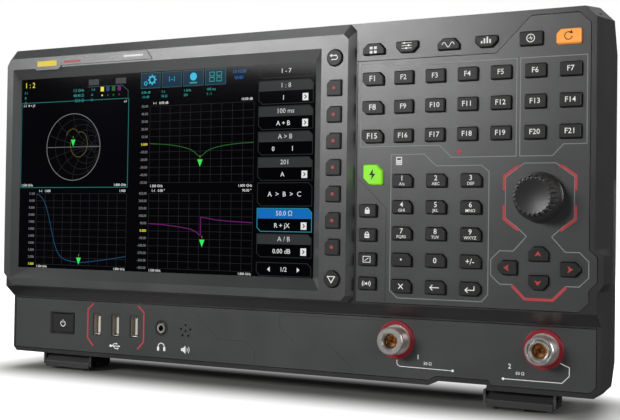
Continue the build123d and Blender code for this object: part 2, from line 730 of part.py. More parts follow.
# ---------------------------------------------------------------- rear connectors and fan
def rear_bnc_jacks():
    """Bayonet coaxial sockets for reference and trigger signals."""
    jacks = []
    face = Y_PANEL + PANEL_THICK
    for x in BNC_X:
        jack = rod(x, BNC_Z, face, face + BNC_LENGTH, BNC_R)
        jack += rod(x, BNC_Z, face, face + 1.4, BNC_FLANGE_R)
        jack += rod(x, BNC_Z, face - 8, face, BNC_BODY_R)
        jack += Pos(x, face + 10.5, BNC_Z) * Cylinder(1.0, 11.2)
        jack -= rod(x, BNC_Z, face + 4, face + BNC_LENGTH + 1, BNC_BORE_R)
        jack += rod(x, BNC_Z, face + 3, face + 10.5, 1.0)
        jacks.append(jack)
    return Compound(children=jacks)


def data_ports():
    """The network, USB and video sockets, each a shell with its cavity."""
    y0, y1 = Y_PANEL - SOCKET_DEPTH, Y_PANEL + PANEL_THICK + 0.6
    x, z = LAN_AT
    lan = centred_box(LAN_AT, LAN_SIZE, y0, y1)
    lan -= box(x - 5.9, x + 5.9, y0 + 2, y1 + 1, z - 4.0, z + 4.4)
    usb = centred_box(USB_B_AT, USB_B_SIZE, y0, y1)
    usb -= centred_box(USB_B_AT, (8.6, 7.8), y0 + 3, y1 + 1)
    usb += centred_box(USB_B_AT, (5.6, 3.2), y0 + 2, y1 - 2)
    x, z = VIDEO_AT
    video = centred_box(VIDEO_AT, VIDEO_SIZE, y0, y1)
    video -= slab(clipped(x - 7.1, x + 7.1, z - 2.3, z + 2.3, 1.6, 1.6), y0 + 3, y1 + 1)
    video += box(x - 5.6, x + 5.6, y0 + 2, y1 - 2, z - 0.2, z + 0.9)
    return Compound(children=[lan, usb, video])


def mains_inlet():
    """The three-pin appliance inlet, with its flange outside the panel."""
    x, z = INLET_AT
    face = Y_PANEL + PANEL_THICK
    inlet = centred_box(INLET_AT, INLET_SIZE, face - 20, face)
    inlet += centred_box(INLET_AT, (33.0, 25.0), face, face + 2.5)
    cavity = clipped(x - 12.2, x + 12.2, z - 8.2, z + 8.2, 0, 0, 4.5, 4.5)
    inlet -= slab(cavity, face - 15, face + 3)
    for dx, dz in ((-7.0, -1.5), (0.0, 2.5), (7.0, -1.5)):
        inlet += box(x + dx - 1, x + dx + 1, face - 16, face - 1, z + dz - 2, z + dz + 2)
    return inlet


def fan_frame():
    x, z = FAN_AT
    half = FAN_SIZE / 2
    front, back = FAN_DEPTH
    frame = box(x - half, x + half, front, back, z - half, z + half)
    frame -= rod(x, z, front - 1, back + 1, FAN_BORE_R)
    frame += rod(x, z, front, front + 3, FAN_HUB_R - 1.5)
    for i in range(3):
        frame += Pos(x, front + 1.5, z) * Rot(0, 120 * i + 30, 0) * Pos(20, 0, 0) * Box(22, 3, 4)
    return frame + rod(x, z, front + 3, front + 10, FAN_STUB_R)


def fan_rotor():
    """Hub with swept blades, turning on the frame's stub shaft."""
    x, z = FAN_AT
    front, back = FAN_DEPTH
    hub = rod(x, z, front + 3.6, back - 1, FAN_HUB_R)
    blade = Pos(19.0, 0, 0) * Rot(38, 0, 0) * Box(16.0, 1.4, 11.0)
    for i in range(FAN_BLADES):
        hub += Pos(x, front + 8.8, z) * Rot(0, 360 / FAN_BLADES * i, 0) * blade
    return hub - rod(x, z, front + 3, front + 10.6, FAN_STUB_R + 0.05)


# ---------------------------------------------------------------- inner modules
def chassis():
    """The sheet metal tray that carries the modules."""
    top = TRAY_Z + SHEET
    tray = box(-TRAY_HALF, TRAY_HALF, -38, 44, TRAY_Z, top)
    for x in (-TRAY_HALF, TRAY_HALF - SHEET):
        tray += box(x, x + SHEET, -38, 44, top, 60.0)
    return tray


def main_board():
    board = box(-180, 45, -24, 36, 24.5, 26.1)
    for x, w in ((-150, 28), (-100, 35), (-40, 22), (10, 28)):
        board += box(x - w / 2, x + w / 2, -15, 15, 26.1, 29.0)
    for x in (-170, -60, 35):
        board += box(x - 3, x + 3, -3, 3, 18.5, 24.5)
    return board


def rf_module():
    """The screened receiver box behind the ports."""
    module = box(62, 182, Y_LOWER + 7, 18, 18.5, 56)
    return module + box(66, 180, -30, 12, 56, 58)


def power_supply():
    supply = box(100, 182, -14, 26, 62, 104)
    for x in (104, 172):
        supply += box(x, x + 6, -14, 26, 60, 62)
    return supply


# ---------------------------------------------------------------- export
def parts():
    nodes = {
        "front_frame": front_frame(),
        "display_bezel": display_bezel(),
        "touch_glass": touch_glass(),
        "lcd_module": lcd_module(),
        "keypad_plate": keypad_plate(),
        "lower_panel": lower_panel(),
        "key_boards": key_boards(),
        "knob_encoder": knob_encoder(),
        "tuning_knob": tuning_knob(),
        "power_key": power_key(),
        "usb_ports": usb_ports(),
        "headphone_jack": headphone_jack(),
        "port_connectors": port_connectors(),
        "port_contacts": port_contacts(),
        "port_rings": port_rings(),
        "rear_shell": rear_shell(),
        "rear_panel": rear_panel(),
        "left_tilt_leg": tilt_leg(LEG_X[0]),
        "right_tilt_leg": tilt_leg(LEG_X[1]),
        "leg_pins": leg_pins(),
        "carry_handle": carry_handle(),
        "rubber_feet": rubber_feet(),
        "rear_bnc_jacks": rear_bnc_jacks(),
        "data_ports": data_ports(),
        "mains_inlet": mains_inlet(),
        "fan_frame": fan_frame(),
        "fan_rotor": fan_rotor(),
        "chassis": chassis(),
        "main_board": main_board(),
        "rf_module": rf_module(),
        "power_supply": power_supply(),
    }
    nodes.update(keypad_keys())
    nodes.update(bezel_keys())
    return nodes


os.makedirs("parts", exist_ok=True)
for name, shape in parts().items():
    export_step(shape, f"parts/{name}.step")
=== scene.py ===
"""Looks of the bench network analyzer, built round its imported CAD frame.

Sizes are in mm unless they say otherwise.
"""

import bpy
import json
import math
from mathutils import Matrix, Vector


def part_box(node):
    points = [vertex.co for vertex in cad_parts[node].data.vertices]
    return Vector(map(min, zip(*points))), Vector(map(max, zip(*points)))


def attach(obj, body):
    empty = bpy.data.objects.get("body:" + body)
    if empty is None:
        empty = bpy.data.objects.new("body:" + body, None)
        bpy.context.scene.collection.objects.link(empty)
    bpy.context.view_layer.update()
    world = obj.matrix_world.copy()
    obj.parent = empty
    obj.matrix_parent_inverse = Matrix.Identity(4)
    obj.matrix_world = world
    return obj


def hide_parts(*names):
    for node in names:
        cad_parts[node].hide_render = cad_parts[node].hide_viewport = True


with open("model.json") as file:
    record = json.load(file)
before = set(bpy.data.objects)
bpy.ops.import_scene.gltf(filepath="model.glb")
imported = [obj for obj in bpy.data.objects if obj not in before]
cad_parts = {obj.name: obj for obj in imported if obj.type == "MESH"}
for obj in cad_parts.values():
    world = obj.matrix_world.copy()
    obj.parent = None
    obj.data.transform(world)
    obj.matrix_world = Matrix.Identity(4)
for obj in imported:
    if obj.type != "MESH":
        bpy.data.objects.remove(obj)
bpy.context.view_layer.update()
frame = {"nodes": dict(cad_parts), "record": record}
NODES = frame["nodes"]
MM = 0.001

# ---------------------------------------------------------------- the frame's places, in mm


def span(node):
    """(x0, y0, z0), (x1, y1, z1) of a CAD node."""
    low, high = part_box(node)
    return low / MM, high / MM


def middle(node):
    low, high = span(node)
    return (low + high) / 2


def front_of(node):
    return span(node)[0].y


PLATE_Y = front_of("keypad_plate")
BEZEL_Y = front_of("display_bezel")
LOWER_Y = front_of("lower_panel")
GLASS_Y = front_of("touch_glass")
GLASS_LIP = 3.0
glass_low, glass_high = span("touch_glass")
WINDOW = (
    glass_low.x + GLASS_LIP,
    glass_high.x - GLASS_LIP,
    glass_low.z + GLASS_LIP,
    glass_high.z - GLASS_LIP,
)
KNOB = middle("tuning_knob")
FLANGE = 1.1
SOFT_KEYS = [f"soft_key_{i}" for i in range(1, 8)]
PORTS = []
low, high = span("port_rings")
ring_radius = (high.z - low.z) / 2
for x in (low.x + ring_radius, high.x - ring_radius):
    PORTS.append((x, (low.z + high.z) / 2))


# ---------------------------------------------------------------- materials
class Nodes:
    """A Principled material whose links are made by name."""

    def __init__(self, name):
        self.material = bpy.data.materials.new(name)
        self.material.use_nodes = True
        self.tree = self.material.node_tree
        self.shader = self.tree.nodes["Principled BSDF"]
        self.coords = self.add("ShaderNodeTexCoord")

    def add(self, kind, **values):
        node = self.tree.nodes.new(kind)
        for key, value in values.items():
            if key in node.inputs:
                node.inputs[key].default_value = value
            else:
                setattr(node, key, value)
        return node

    def link(self, source, target):
        self.tree.links.new(source, target)

    def feed(self, name, source):
        """Links an output to the shader's socket of that name."""
        self.link(source, self.shader.inputs[name])

    def set(self, **values):
        for key, value in values.items():
            self.shader.inputs[key.replace("_", " ")].default_value = value

    def noise(self, scale, detail=3.0, roughness=0.55):
        node = self.add("ShaderNodeTexNoise", Scale=scale, Detail=detail, Roughness=roughness)
        self.link(self.coords.outputs["Object"], node.inputs["Vector"])
        return node.outputs["Fac"]

    def ramp(self, factor, low, high, start=0.3, end=0.7):
        node = self.add("ShaderNodeValToRGB")
        node.color_ramp.elements[0].position = start
        node.color_ramp.elements[0].color = low
        node.color_ramp.elements[1].position = end
        node.color_ramp.elements[1].color = high
        self.link(factor, node.inputs["Fac"])
        return node.outputs["Color"]

    def between(self, factor, low, high):
        node = self.add("ShaderNodeMapRange")
        node.inputs["To Min"].default_value = low
        node.inputs["To Max"].default_value = high
        self.link(factor, node.inputs["Value"])
        return node.outputs["Result"]

    def bump(self, height, strength, distance):
        node = self.add("ShaderNodeBump", Strength=strength, Distance=distance)
        self.link(height, node.inputs["Height"])
        self.feed("Normal", node.outputs["Normal"])
        return node


def rgb(r, g, b, gain=1.0):
    return (r * gain, g * gain, b * gain, 1.0)


def moulded(name, colour, rough, grain=2600.0, depth=0.2, spread=0.12, sheen=1.0):
    """Moulded plastic: a faint cloud in its colour and gloss, and a fine spark-eroded grain."""
    n = Nodes(name)
    cloud = n.noise(14.0, 4.0)
    dark = rgb(*colour, gain=1.0 - spread)
    light = rgb(*colour, gain=1.0 + spread)
    n.feed("Base Color", n.ramp(cloud, dark, light))
    n.feed("Roughness", n.between(n.noise(60.0, 3.0), rough - 0.05, rough + 0.05))
    n.bump(n.noise(grain, 2.0), depth, 0.00012)
    n.set(Specular_IOR_Level=sheen)
    return n.material


def metal(name, colour, rough, grain=400.0, depth=0.05, metallic=1.0):
    """Plated or rolled metal with light handling marks; a dull plating is less metallic."""
    n = Nodes(name)
    n.set(Metallic=metallic)
    n.feed("Base Color", n.ramp(n.noise(50.0, 5.0), rgb(*colour, gain=0.86), rgb(*colour)))
    n.feed("Roughness", n.between(n.noise(grain, 6.0, 0.7), rough * 0.7, rough * 1.5))
    n.bump(n.noise(grain, 4.0), depth, 0.0001)
    return n.material


def glow(name, colour, strength=1.0, gloss=0.12):
    """A lit area of the display, which shines a little unevenly."""
    n = Nodes(name)
    n.set(Base_Color=(0.004, 0.004, 0.005, 1.0), Roughness=gloss)
    n.set(Emission_Strength=strength, Specular_IOR_Level=0.06)
    uneven = n.ramp(n.noise(30.0, 2.0), rgb(*colour, gain=0.92), rgb(*colour))
    n.feed("Emission Color", uneven)
    return n.material


def ink(name, colour, light=0.0):
    """Screen-printed ink: matt, slightly uneven and faintly raised; light is a painted glow that brightens it
    where the lamps leave it dark.
    """
    n = Nodes(name)
    n.feed("Base Color", n.ramp(n.noise(900.0, 3.0), rgb(*colour, gain=0.88), rgb(*colour)))
    n.feed("Roughness", n.between(n.noise(300.0), 0.45, 0.6))
    n.bump(n.noise(2500.0), 0.1, 0.00005)
    # Painted light: the ink emits a little of its own colour.
    if light:
        n.set(Emission_Color=rgb(*colour), Emission_Strength=light)
    return n.material


def lit_plastic(name, colour, light):
    """A translucent key cap with a lamp behind it."""
    n = Nodes(name)
    cap = n.ramp(n.noise(120.0, 3.0), rgb(*colour, gain=0.9), rgb(*colour))
    n.feed("Base Color", cap)
    n.feed("Emission Color", cap)
    n.feed("Roughness", n.between(n.noise(80.0), 0.3, 0.42))
    n.bump(n.noise(2200.0), 0.1, 0.0001)
    n.set(Emission_Strength=light)
    return n.material


def black_glass():
    """The display's cover glass over the dark panel: deep black, glossy, with the faintest smears."""
    n = Nodes("cover_glass")
    black = n.ramp(n.noise(8.0, 4.0), rgb(0.002, 0.002, 0.003), rgb(0.004, 0.004, 0.006))
    n.feed("Base Color", black)
    n.feed("Roughness", n.between(n.noise(12.0, 6.0), 0.05, 0.12))
    n.bump(n.noise(6.0), 0.01, 0.0001)
    n.set(IOR=1.45, Specular_IOR_Level=0.12)
    return n.material


def circuit_board():
    """Solder mask over copper tracks."""
    n = Nodes("solder_mask")
    tracks = n.add("ShaderNodeTexVoronoi", Scale=180.0, distance="MANHATTAN")
    n.link(n.coords.outputs["Object"], tracks.inputs["Vector"])
    green = n.ramp(tracks.outputs["Distance"], rgb(0.02, 0.12, 0.05), rgb(0.03, 0.2, 0.09))
    n.feed("Base Color", green)
    n.bump(tracks.outputs["Distance"], 0.2, 0.0001)
    n.set(Roughness=0.35)
    return n.material


FINISH = {
    "case_plastic": moulded("case_plastic", (0.036, 0.036, 0.037), 0.32),
    "panel_plastic": moulded("panel_plastic", (0.075, 0.077, 0.078), 0.32),
    "foot_plastic": moulded("foot_plastic", (0.012, 0.012, 0.013), 0.5),
    "key_plastic": moulded("key_plastic", (0.026, 0.027, 0.025), 0.42, sheen=0.4),
    "amber_plastic": lit_plastic("amber_plastic", (0.95, 0.36, 0.06), 0.55),
    "lime_plastic": lit_plastic("lime_plastic", (0.25, 0.78, 0.02), 0.55),
    "knob_plastic": moulded("knob_plastic", (0.03, 0.031, 0.03), 0.34, sheen=0.8),
    "black_plastic": moulded("black_plastic", (0.014, 0.014, 0.015), 0.4),
    "red_plastic": moulded("red_plastic", (0.42, 0.02, 0.035), 0.3),
    "display_glass": black_glass(),
    "display_module": moulded("display_module", (0.01, 0.01, 0.012), 0.3),
    "circuit_board": circuit_board(),
    "bright_steel": metal("bright_steel", (0.6, 0.6, 0.6), 0.25),
    "nickel_plate": metal("nickel_plate", (1.0, 0.96, 0.92), 0.28, metallic=0.8),
    "gold_plate": metal("gold_plate", (0.9, 0.62, 0.25), 0.2),
    "sheet_aluminium": metal("sheet_aluminium", (0.72, 0.73, 0.74), 0.35),
    "painted_sheet": moulded("painted_sheet", (0.16, 0.16, 0.165), 0.5, grain=1500.0, depth=0.4),
    "foot_rubber": moulded("foot_rubber", (0.015, 0.015, 0.015), 0.75),
}
# The last number of each ink is its painted glow.
WHITE_INK = ink("white_ink", (0.72, 0.72, 0.7), 0.5)
GREY_INK = ink("grey_ink", (0.34, 0.35, 0.35), 0.11)
RED_INK = ink("red_ink", (0.56, 0.06, 0.07), 0.17)
YELLOW_INK = ink("yellow_ink", (0.8, 0.6, 0.05), 0.3)
DARK_INK = ink("dark_ink", (0.02, 0.015, 0.01))
# Painted shade for moulded seams and contours; the same dark material also prints a few dark marks
SEAM_SHADE_AND_DARK_PRINT = moulded("seam_shade_and_dark_print", (0.008, 0.008, 0.008), 0.6)


# ---------------------------------------------------------------- CAD nodes: finishes and softened edges
SOFT_EDGES = {"case_plastic": 0.8, "panel_plastic": 0.35, "foot_plastic": 0.5, "key_plastic": 0.12}
SLOTS = {row["node"]: row["material_slot"] for row in frame["record"]["subparts"]}


def soften(node, width):
    """Rounds a node's sharp edges by width, which its own mesh is too plain to show."""
    obj = NODES[node]
    weld = obj.modifiers.new("weld", "WELD")
    weld.merge_threshold = 0.00001
    plain_faces = obj.modifiers.new("plain_faces", "DECIMATE")
    plain_faces.decimate_type = "DISSOLVE"
    plain_faces.angle_limit = math.radians(0.6)
    bevel = obj.modifiers.new("round_edges", "BEVEL")
    bevel.width = width * MM
    bevel.segments = 2
    bevel.limit_method = "ANGLE"
    bevel.angle_limit = math.radians(28)
    bevel.use_clamp_overlap = True
    normals = obj.modifiers.new("flat_faces", "WEIGHTED_NORMAL")
    normals.keep_sharp = False


def smooth(mesh, angle=30):
    mesh.polygons.foreach_set("use_smooth", [True] * len(mesh.polygons))
    mesh.set_sharp_from_angle(angle=math.radians(angle))


for node, obj in NODES.items():
    obj.data.materials.clear()
    obj.data.materials.append(FINISH[SLOTS[node]])
    width = SOFT_EDGES.get(SLOTS[node])
    if width:
        soften(node, width)


# ---------------------------------------------------------------- builders
def piece(name, verts, faces, material, body, flat=False):
    """A mesh piece from points in mm; it rides on the body."""
    mesh = bpy.data.meshes.new(name)
    mesh.from_pydata([Vector(v) * MM for v in verts], [], faces)
    mesh.validate()
    mesh.materials.append(material)
    if not flat:
        smooth(mesh)
    obj = bpy.data.objects.new(name, mesh)
    bpy.context.scene.collection.objects.link(obj)
    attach(obj, body)
    return obj


def lathe(profile, x, z, turn=96, wave=None):
    """Points and faces of a ring of (depth, radius) points turned about the Y axis through (x, z)."""
    verts, faces = [], []
    for i in range(turn):
        angle = 2 * math.pi * i / turn
        for depth, radius in profile:
            r = wave(depth, radius, angle) if wave else radius
            verts.append((x + r * math.cos(angle), depth, z + r * math.sin(angle)))
    count = len(profile)
    for i in range(turn):
        a, b = i * count, ((i + 1) % turn) * count
        for j in range(count - 1):
            faces.append((a + j, a + j + 1, b + j + 1, b + j))
    return verts, faces


def closed_lathe(profile, x, z, turn=96, wave=None):
    """As lathe, for a profile whose last point joins its first, which gives a solid ring."""
    verts, faces = lathe(profile, x, z, turn, wave)
    count = len(profile)
    for i in range(turn):
        a, b = i * count, ((i + 1) % turn) * count
        faces.append((a + count - 1, a, b, b + count - 1))
    return verts, faces


def circle(x, z, radius, start=0.0, end=360.0, count=48):
    """Points (x, z) along an arc; a whole circle has no doubled point."""
    whole = abs(end - start) >= 360
    steps = count if whole else count - 1
    angles = [math.radians(start + (end - start) * i / steps) for i in range(count)]
    return [(x + radius * math.cos(a), z + radius * math.sin(a)) for a in angles]


def clipped(x0, x1, z0, z1, low_left=0.0, low_right=0.0, top_right=0.0, top_left=0.0):
    """A rectangle's corners, counter-clockwise, with cuts."""
    points = []
    for x, z, cut, first, second in (
        (x0, z0, low_left, (0, 1), (1, 0)),
        (x1, z0, low_right, (-1, 0), (0, 1)),
        (x1, z1, top_right, (0, -1), (-1, 0)),
        (x0, z1, top_left, (1, 0), (0, -1)),
    ):
        if cut:
            points.append((x + first[0] * cut, z + first[1] * cut))
            points.append((x + second[0] * cut, z + second[1] * cut))
        else:
            points.append((x, z))
    return points


def mitred(points, width, closed):
    """The two edges of a line of that width along the points."""
    count = len(points)
    left, right = [], []
    for i, (x, z) in enumerate(points):
        before = points[i - 1] if closed or i else None
        after = points[(i + 1) % count] if closed or i < count - 1 else None
        ways = []
        for a, b in ((before, (x, z)), ((x, z), after)):
            if a and b:
                ways.append(Vector((b[0] - a[0], b[1] - a[1])).normalized())
        way = sum(ways, Vector((0, 0)))
        way = way.normalized() if way.length > 0.01 else ways[0]
        half = width / 2 / max(0.35, way.dot(ways[0]))
        left.append((x - way.y * half, z + way.x * half))
        right.append((x + way.y * half, z - way.x * half))
    return left, right


class Print:
    """Thin closed marks on one plane, one piece for each material. On the back, x runs as seen from there."""

    def __init__(self, name, body, y, back=False):
        self.name, self.body, self.y = name, body, y
        self.side = -1 if back else 1
        self.layers = {}

    def add(self, material, points, faces, lift):
        verts, all_faces = self.layers.setdefault(material, ([], []))
        start = len(verts)
        verts += [(self.side * x, self.y - self.side * lift, z) for x, z in points]
        all_faces += [tuple(start + i for i in face) for face in faces]

    def area(self, material, points, lift=0.04):
        self.add(material, points, [tuple(range(len(points)))], lift)

    def box(self, material, x0, x1, z0, z1, lift=0.04, **cuts):
        self.area(material, clipped(x0, x1, z0, z1, **cuts), lift)

    def disc(self, material, x, z, radius, lift=0.04, count=24):
        self.area(material, circle(x, z, radius, count=count), lift)

    def line(self, material, points, width, closed=False, lift=0.04):
        left, right = mitred(points, width, closed)
        count = len(points)
        faces = []
        for i in range(count if closed else count - 1):
            j = (i + 1) % count
            faces.append((count + i, count + j, j, i))
        self.add(material, left + right, faces, lift)

    def ring(self, material, x, z, radius, width, lift=0.04, start=0.0, end=360.0, count=48):
        self.line(material, circle(x, z, radius, start, end, count), width, abs(end - start) >= 360, lift)

    def text(self, material, words, x, z, size, lift=0.05, align="CENTER", weight=0.0):
        """Plain numerals and marks, size mm tall."""
        curve = bpy.data.curves.new("words", "FONT")
        curve.body = words
        curve.size = size / 0.7
        curve.align_x = align
        curve.align_y = "CENTER"
        curve.offset = weight
        curve.fill_mode = "FRONT"
        curve.resolution_u = 2
        holder = bpy.data.objects.new("words", curve)
        mesh = bpy.data.meshes.new_from_object(holder)
        points = [(x + v.co.x, z + v.co.y) for v in mesh.vertices]
        self.add(material, points, [tuple(p.vertices) for p in mesh.polygons], lift)
        bpy.data.objects.remove(holder)
        bpy.data.curves.remove(curve)
        bpy.data.meshes.remove(mesh)

    def place(self):
        for material, (verts, faces) in self.layers.items():
            obj = piece(f"{self.name}_{material.name}", verts, faces, material, self.body, flat=True)
            depth = obj.modifiers.new("thickness", "SOLIDIFY")
            depth.thickness = 0.05 * MM
            depth.offset = -1.0


# ---------------------------------------------------------------- keypad plate: outlines and accents
LINE = 0.45
ACCENT = 1.5
plate = Print("plate_print", "housing", PLATE_Y)


def about(points, x, z, flip=(1, 1)):
    """Points given from (0, 0), placed at (x, z) and mirrored where flip says -1."""
    return [(x + flip[0] * a, z + flip[1] * b) for a, b in points]


# The knob and arrow outline is the same on both sides of the knob's axis.
KNOB_HALF = [(0, 18.3), (8.6, 18.3), (12.4, 15.4), (18.6, 10.8), (18.6, -11.6), (12.4, -16.2)]
KNOB_HALF += [(6.8, -21.4), (14.0, -29.4), (21.6, -29.4), (26.4, -34.2), (26.4, -42.8), (21.4, -47.6)]
KNOB_HALF += [(14.4, -47.6), (7.2, -54.8), (0, -54.8)]
for side in (-1, 1):
    half = about(KNOB_HALF, KNOB.x, KNOB.z, (side, 1))
    plate.line(GREY_INK, half, LINE)
    corner = about([(10.6, 16.6), (12.9, 16.0), (19.3, 11.3), (19.3, 3.6)], KNOB.x, KNOB.z, (side, 1))
    plate.line(RED_INK, corner, ACCENT, lift=0.05)
    corner = about([(19.3, -4.4), (19.3, -12.0), (12.9, -16.9), (11.2, -18.0)], KNOB.x, KNOB.z, (side, 1))
    plate.line(RED_INK, corner, ACCENT, lift=0.05)
    foot = about([(14.6, -48.2), (7.6, -55.2), (0, -55.2)], KNOB.x, KNOB.z, (side, 1))
    plate.line(RED_INK, foot, ACCENT, lift=0.05)

ENTRY_OUTLINE = [(83.6, 142.4), (103.6, 142.4), (110.6, 135.6), (137.0, 135.6), (141.3, 132.0), (141.3, 64.4)]
ENTRY_OUTLINE += [(137.8, 60.4), (88.2, 60.4), (83.6, 64.4)]
plate.line(GREY_INK, ENTRY_OUTLINE, LINE, closed=True)
FUNCTION_OUTLINE = [(64.4, 147.2), (112.6, 147.2), (119.6, 140.3), (156.2, 140.3), (156.2, 193.6)]
FUNCTION_OUTLINE += [(84.0, 193.6), (80.6, 195.4), (64.4, 195.4)]
plate.line(GREY_INK, FUNCTION_OUTLINE, LINE, closed=True)
SYSTEM_OUTLINE = [(158.2, 140.3), (176.0, 140.3), (181.8, 146.4), (194.0, 146.4)]
SYSTEM_OUTLINE += [(194.0, 193.6), (158.2, 193.6)]
plate.line(GREY_INK, SYSTEM_OUTLINE, LINE, closed=True)
# A moulded seam in the plate, drawn as a painted shade line
plate.line(SEAM_SHADE_AND_DARK_PRINT, [(62.8, 129.2), (80.8, 111.4), (80.8, 57.6)], 0.35)
# Group marks in place of headings
star = []
for i in range(8):
    star += circle(124.0, 143.6, (2.2, 1.0)[i % 2], 45 * i, 45 * i + 1, 2)[:1]
plate.area(RED_INK, star, 0.05)
plate.box(WHITE_INK, 86.6, 90.2, 136.4, 141.0)
plate.box(SEAM_SHADE_AND_DARK_PRINT, 87.2, 89.6, 139.2, 140.4, 0.06)
for column in range(3):
    for row in range(2):
        plate.disc(SEAM_SHADE_AND_DARK_PRINT, 87.5 + 0.9 * column, 137.2 + 1.0 * row, 0.28, 0.06, 12)
plate.place()


# ---------------------------------------------------------------- key legends
LEGENDS = []


def legend(node):
    """A key's empty legend. All legends are placed together, once they are drawn."""
    LEGENDS.append(Print(f"legend_{node}", node, front_of(node)))
    return LEGENDS[-1]


def legend_at(node):
    """A key's empty legend, and the key's middle."""
    return legend(node), middle(node)


def row_places(node, count, first_width, last_width):
    """The key centres along a node that holds a row of keys."""
    low, high = span(node)
    start = low.x + FLANGE + first_width / 2
    end = high.x - FLANGE - last_width / 2
    z = (low.z + high.z) / 2
    return [(start + (end - start) * i / (count - 1), z) for i in range(count)]


# Cap widths; the first function key of a row is wider than the last.
FIRST_FUNCTION_KEY = 13.0
LAST_FUNCTION_KEY = 11.4
NUMBER_KEY = 12.0

for row in range(3):
    node = f"function_keys_{row + 1}"
    marks = legend(node)
    for column, (x, z) in enumerate(row_places(node, 7, FIRST_FUNCTION_KEY, LAST_FUNCTION_KEY)):
        number = 7 * row + column + 1
        heavy = 0.04 if column == 0 else 0.025
        size = 3.3 if column == 0 else 2.9
        marks.text(WHITE_INK, f"F{number}", x, z, size, weight=heavy)

NUMERALS = [("1", "A/a"), ("2", "ABC"), ("3", "DEF"), ("4", "GHI"), ("5", "JKL"), ("6", "MNO"), ("7", "PQRS")]
NUMERALS += [("8", "TUV"), ("9", "WXYZ")]
for row in range(4):
    node = f"number_keys_{row + 1}"
    marks = legend(node)
    for column, (x, z) in enumerate(row_places(node, 3, NUMBER_KEY, NUMBER_KEY)):
        if row == 3:
            marks.text(WHITE_INK, ("•", "0", "+/-")[column], x, z, 3.1, weight=0.03)
        else:
            numeral, letters = NUMERALS[3 * row + column]
            marks.text(WHITE_INK, numeral, x, z + 1.3, 2.9, weight=0.025)
            marks.text(WHITE_INK, letters, x, z - 1.9, 1.7, weight=0.015)

marks = legend("number_keys_5")
escape, back, enter = row_places("number_keys_5", 3, NUMBER_KEY, NUMBER_KEY)
for slope in (-1, 1):
    marks.line(WHITE_INK, about([(-1.4, -1.4 * slope), (1.4, 1.4 * slope)], *escape), 0.5)
marks.line(WHITE_INK, about([(-2.6, 0), (2.6, 0)], *back), 0.5)
marks.line(WHITE_INK, about([(-1.2, 1.5), (-2.7, 0), (-1.2, -1.5)], *back), 0.5)
marks.line(WHITE_INK, about([(2.6, 1.7), (2.6, -0.6), (-2.4, -0.6)], *enter), 0.5)
marks.line(WHITE_INK, about([(-1.0, 0.8), (-2.5, -0.6), (-1.0, -2.0)], *enter), 0.5)

side_low, side_high = span("side_keys")
SIDE_HEIGHT = 7.2
side_x = (side_low.x + side_high.x) / 2
side_top = side_high.z - FLANGE - SIDE_HEIGHT / 2
side_step = (side_high.z - side_low.z - 2 * FLANGE - SIDE_HEIGHT) / 3
marks = legend("side_keys")
for i in range(2):
    z = side_top - side_step * i
    marks.line(WHITE_INK, circle(side_x, z + 0.8, 1.0, 0, 180, 12), 0.45)
    marks.box(WHITE_INK, side_x - 1.5, side_x + 1.5, z - 1.7, z + 0.7, low_left=0.2, low_right=0.2)
    if i:
        marks.line(SEAM_SHADE_AND_DARK_PRINT, [(side_x - 1.1, z - 0.5), (side_x + 1.1, z - 0.5)], 0.35, lift=0.06)
z = side_top - 2 * side_step
marks.line(WHITE_INK, clipped(side_x - 2.2, side_x + 2.2, z - 1.7, z + 1.7), 0.4, closed=True)
marks.line(WHITE_INK, [(side_x - 1.2, z - 0.8), (side_x + 1.2, z + 0.8)], 0.4)
z = side_top - 3 * side_step
marks.disc(WHITE_INK, side_x, z, 0.7)
for side in (-1, 1):
    for radius in (1.5, 2.5):
        marks.line(WHITE_INK, about(circle(0, 0, radius, -38, 38, 8), side_x, z, (side, 1)), 0.4)

# Top row: plain pictograms
marks, spot = legend_at("mode_key")
for dx in (-1.3, 1.3):
    for dz in (-1.9, 0.5):
        marks.box(WHITE_INK, spot.x + dx - 0.9, spot.x + dx + 0.9, spot.z + dz - 0.8, spot.z + dz + 0.8)
marks, spot = legend_at("mode_setup_key")
for i, knob in enumerate((-1.4, 1.2, -0.2)):
    z = spot.z + 2.1 - 1.5 * i
    marks.line(WHITE_INK, [(spot.x - 3, z), (spot.x + 3, z)], 0.35)
    marks.disc(WHITE_INK, spot.x + knob, z, 0.6)
marks, spot = legend_at("measure_key")
wave = [(-3.6 + 0.3 * i, 1.4 * math.sin(2 * math.pi * i / 16) - 0.5) for i in range(25)]
marks.line(WHITE_INK, about(wave, spot.x, spot.z), 0.4)
marks, spot = legend_at("measure_setup_key")
for i, tall in enumerate((1.4, 2.8, 3.6, 2.2)):
    x = spot.x - 2.4 + 1.6 * i
    marks.box(WHITE_INK, x - 0.45, x + 0.45, spot.z - 1.2, spot.z - 1.2 + tall)
marks, spot = legend_at("auto_key")
marks.ring(WHITE_INK, spot.x, spot.z, 2.1, 0.45)
pulse = [(-1.2, 0), (-0.3, 0), (0, 1.2), (0.3, -1.0), (0.5, 0), (1.2, 0)]
marks.line(WHITE_INK, about(pulse, spot.x, spot.z), 0.35)
marks, spot = legend_at("preset_key")
marks.ring(DARK_INK, spot.x, spot.z, 2.0, 0.5, start=50, end=350)
marks.area(DARK_INK, about([(0.4, 1.2), (2.4, 1.2), (1.6, 2.9)], spot.x, spot.z))
marks, spot = legend_at("quick_key")
bolt = [(0.6, 3.4), (-2.0, -0.4), (-0.2, -0.4), (-0.8, -3.4), (2.0, 0.5), (0.2, 0.5)]
marks.area(DARK_INK, about(bolt, spot.x, spot.z))

ARROWS = {"arrow_up_key": 90, "arrow_left_key": 180, "arrow_down_key": 270, "arrow_right_key": 0}
for node, angle in ARROWS.items():
    marks, spot = legend_at(node)
    cosine, sine = math.cos(math.radians(angle)), math.sin(math.radians(angle))
    points = [(1.7, 0), (-1.3, 1.9), (-0.5, 0), (-1.3, -1.9)]
    turned = [(a * cosine - b * sine, a * sine + b * cosine) for a, b in points]
    marks.area(RED_INK, about(turned, spot.x, spot.z))

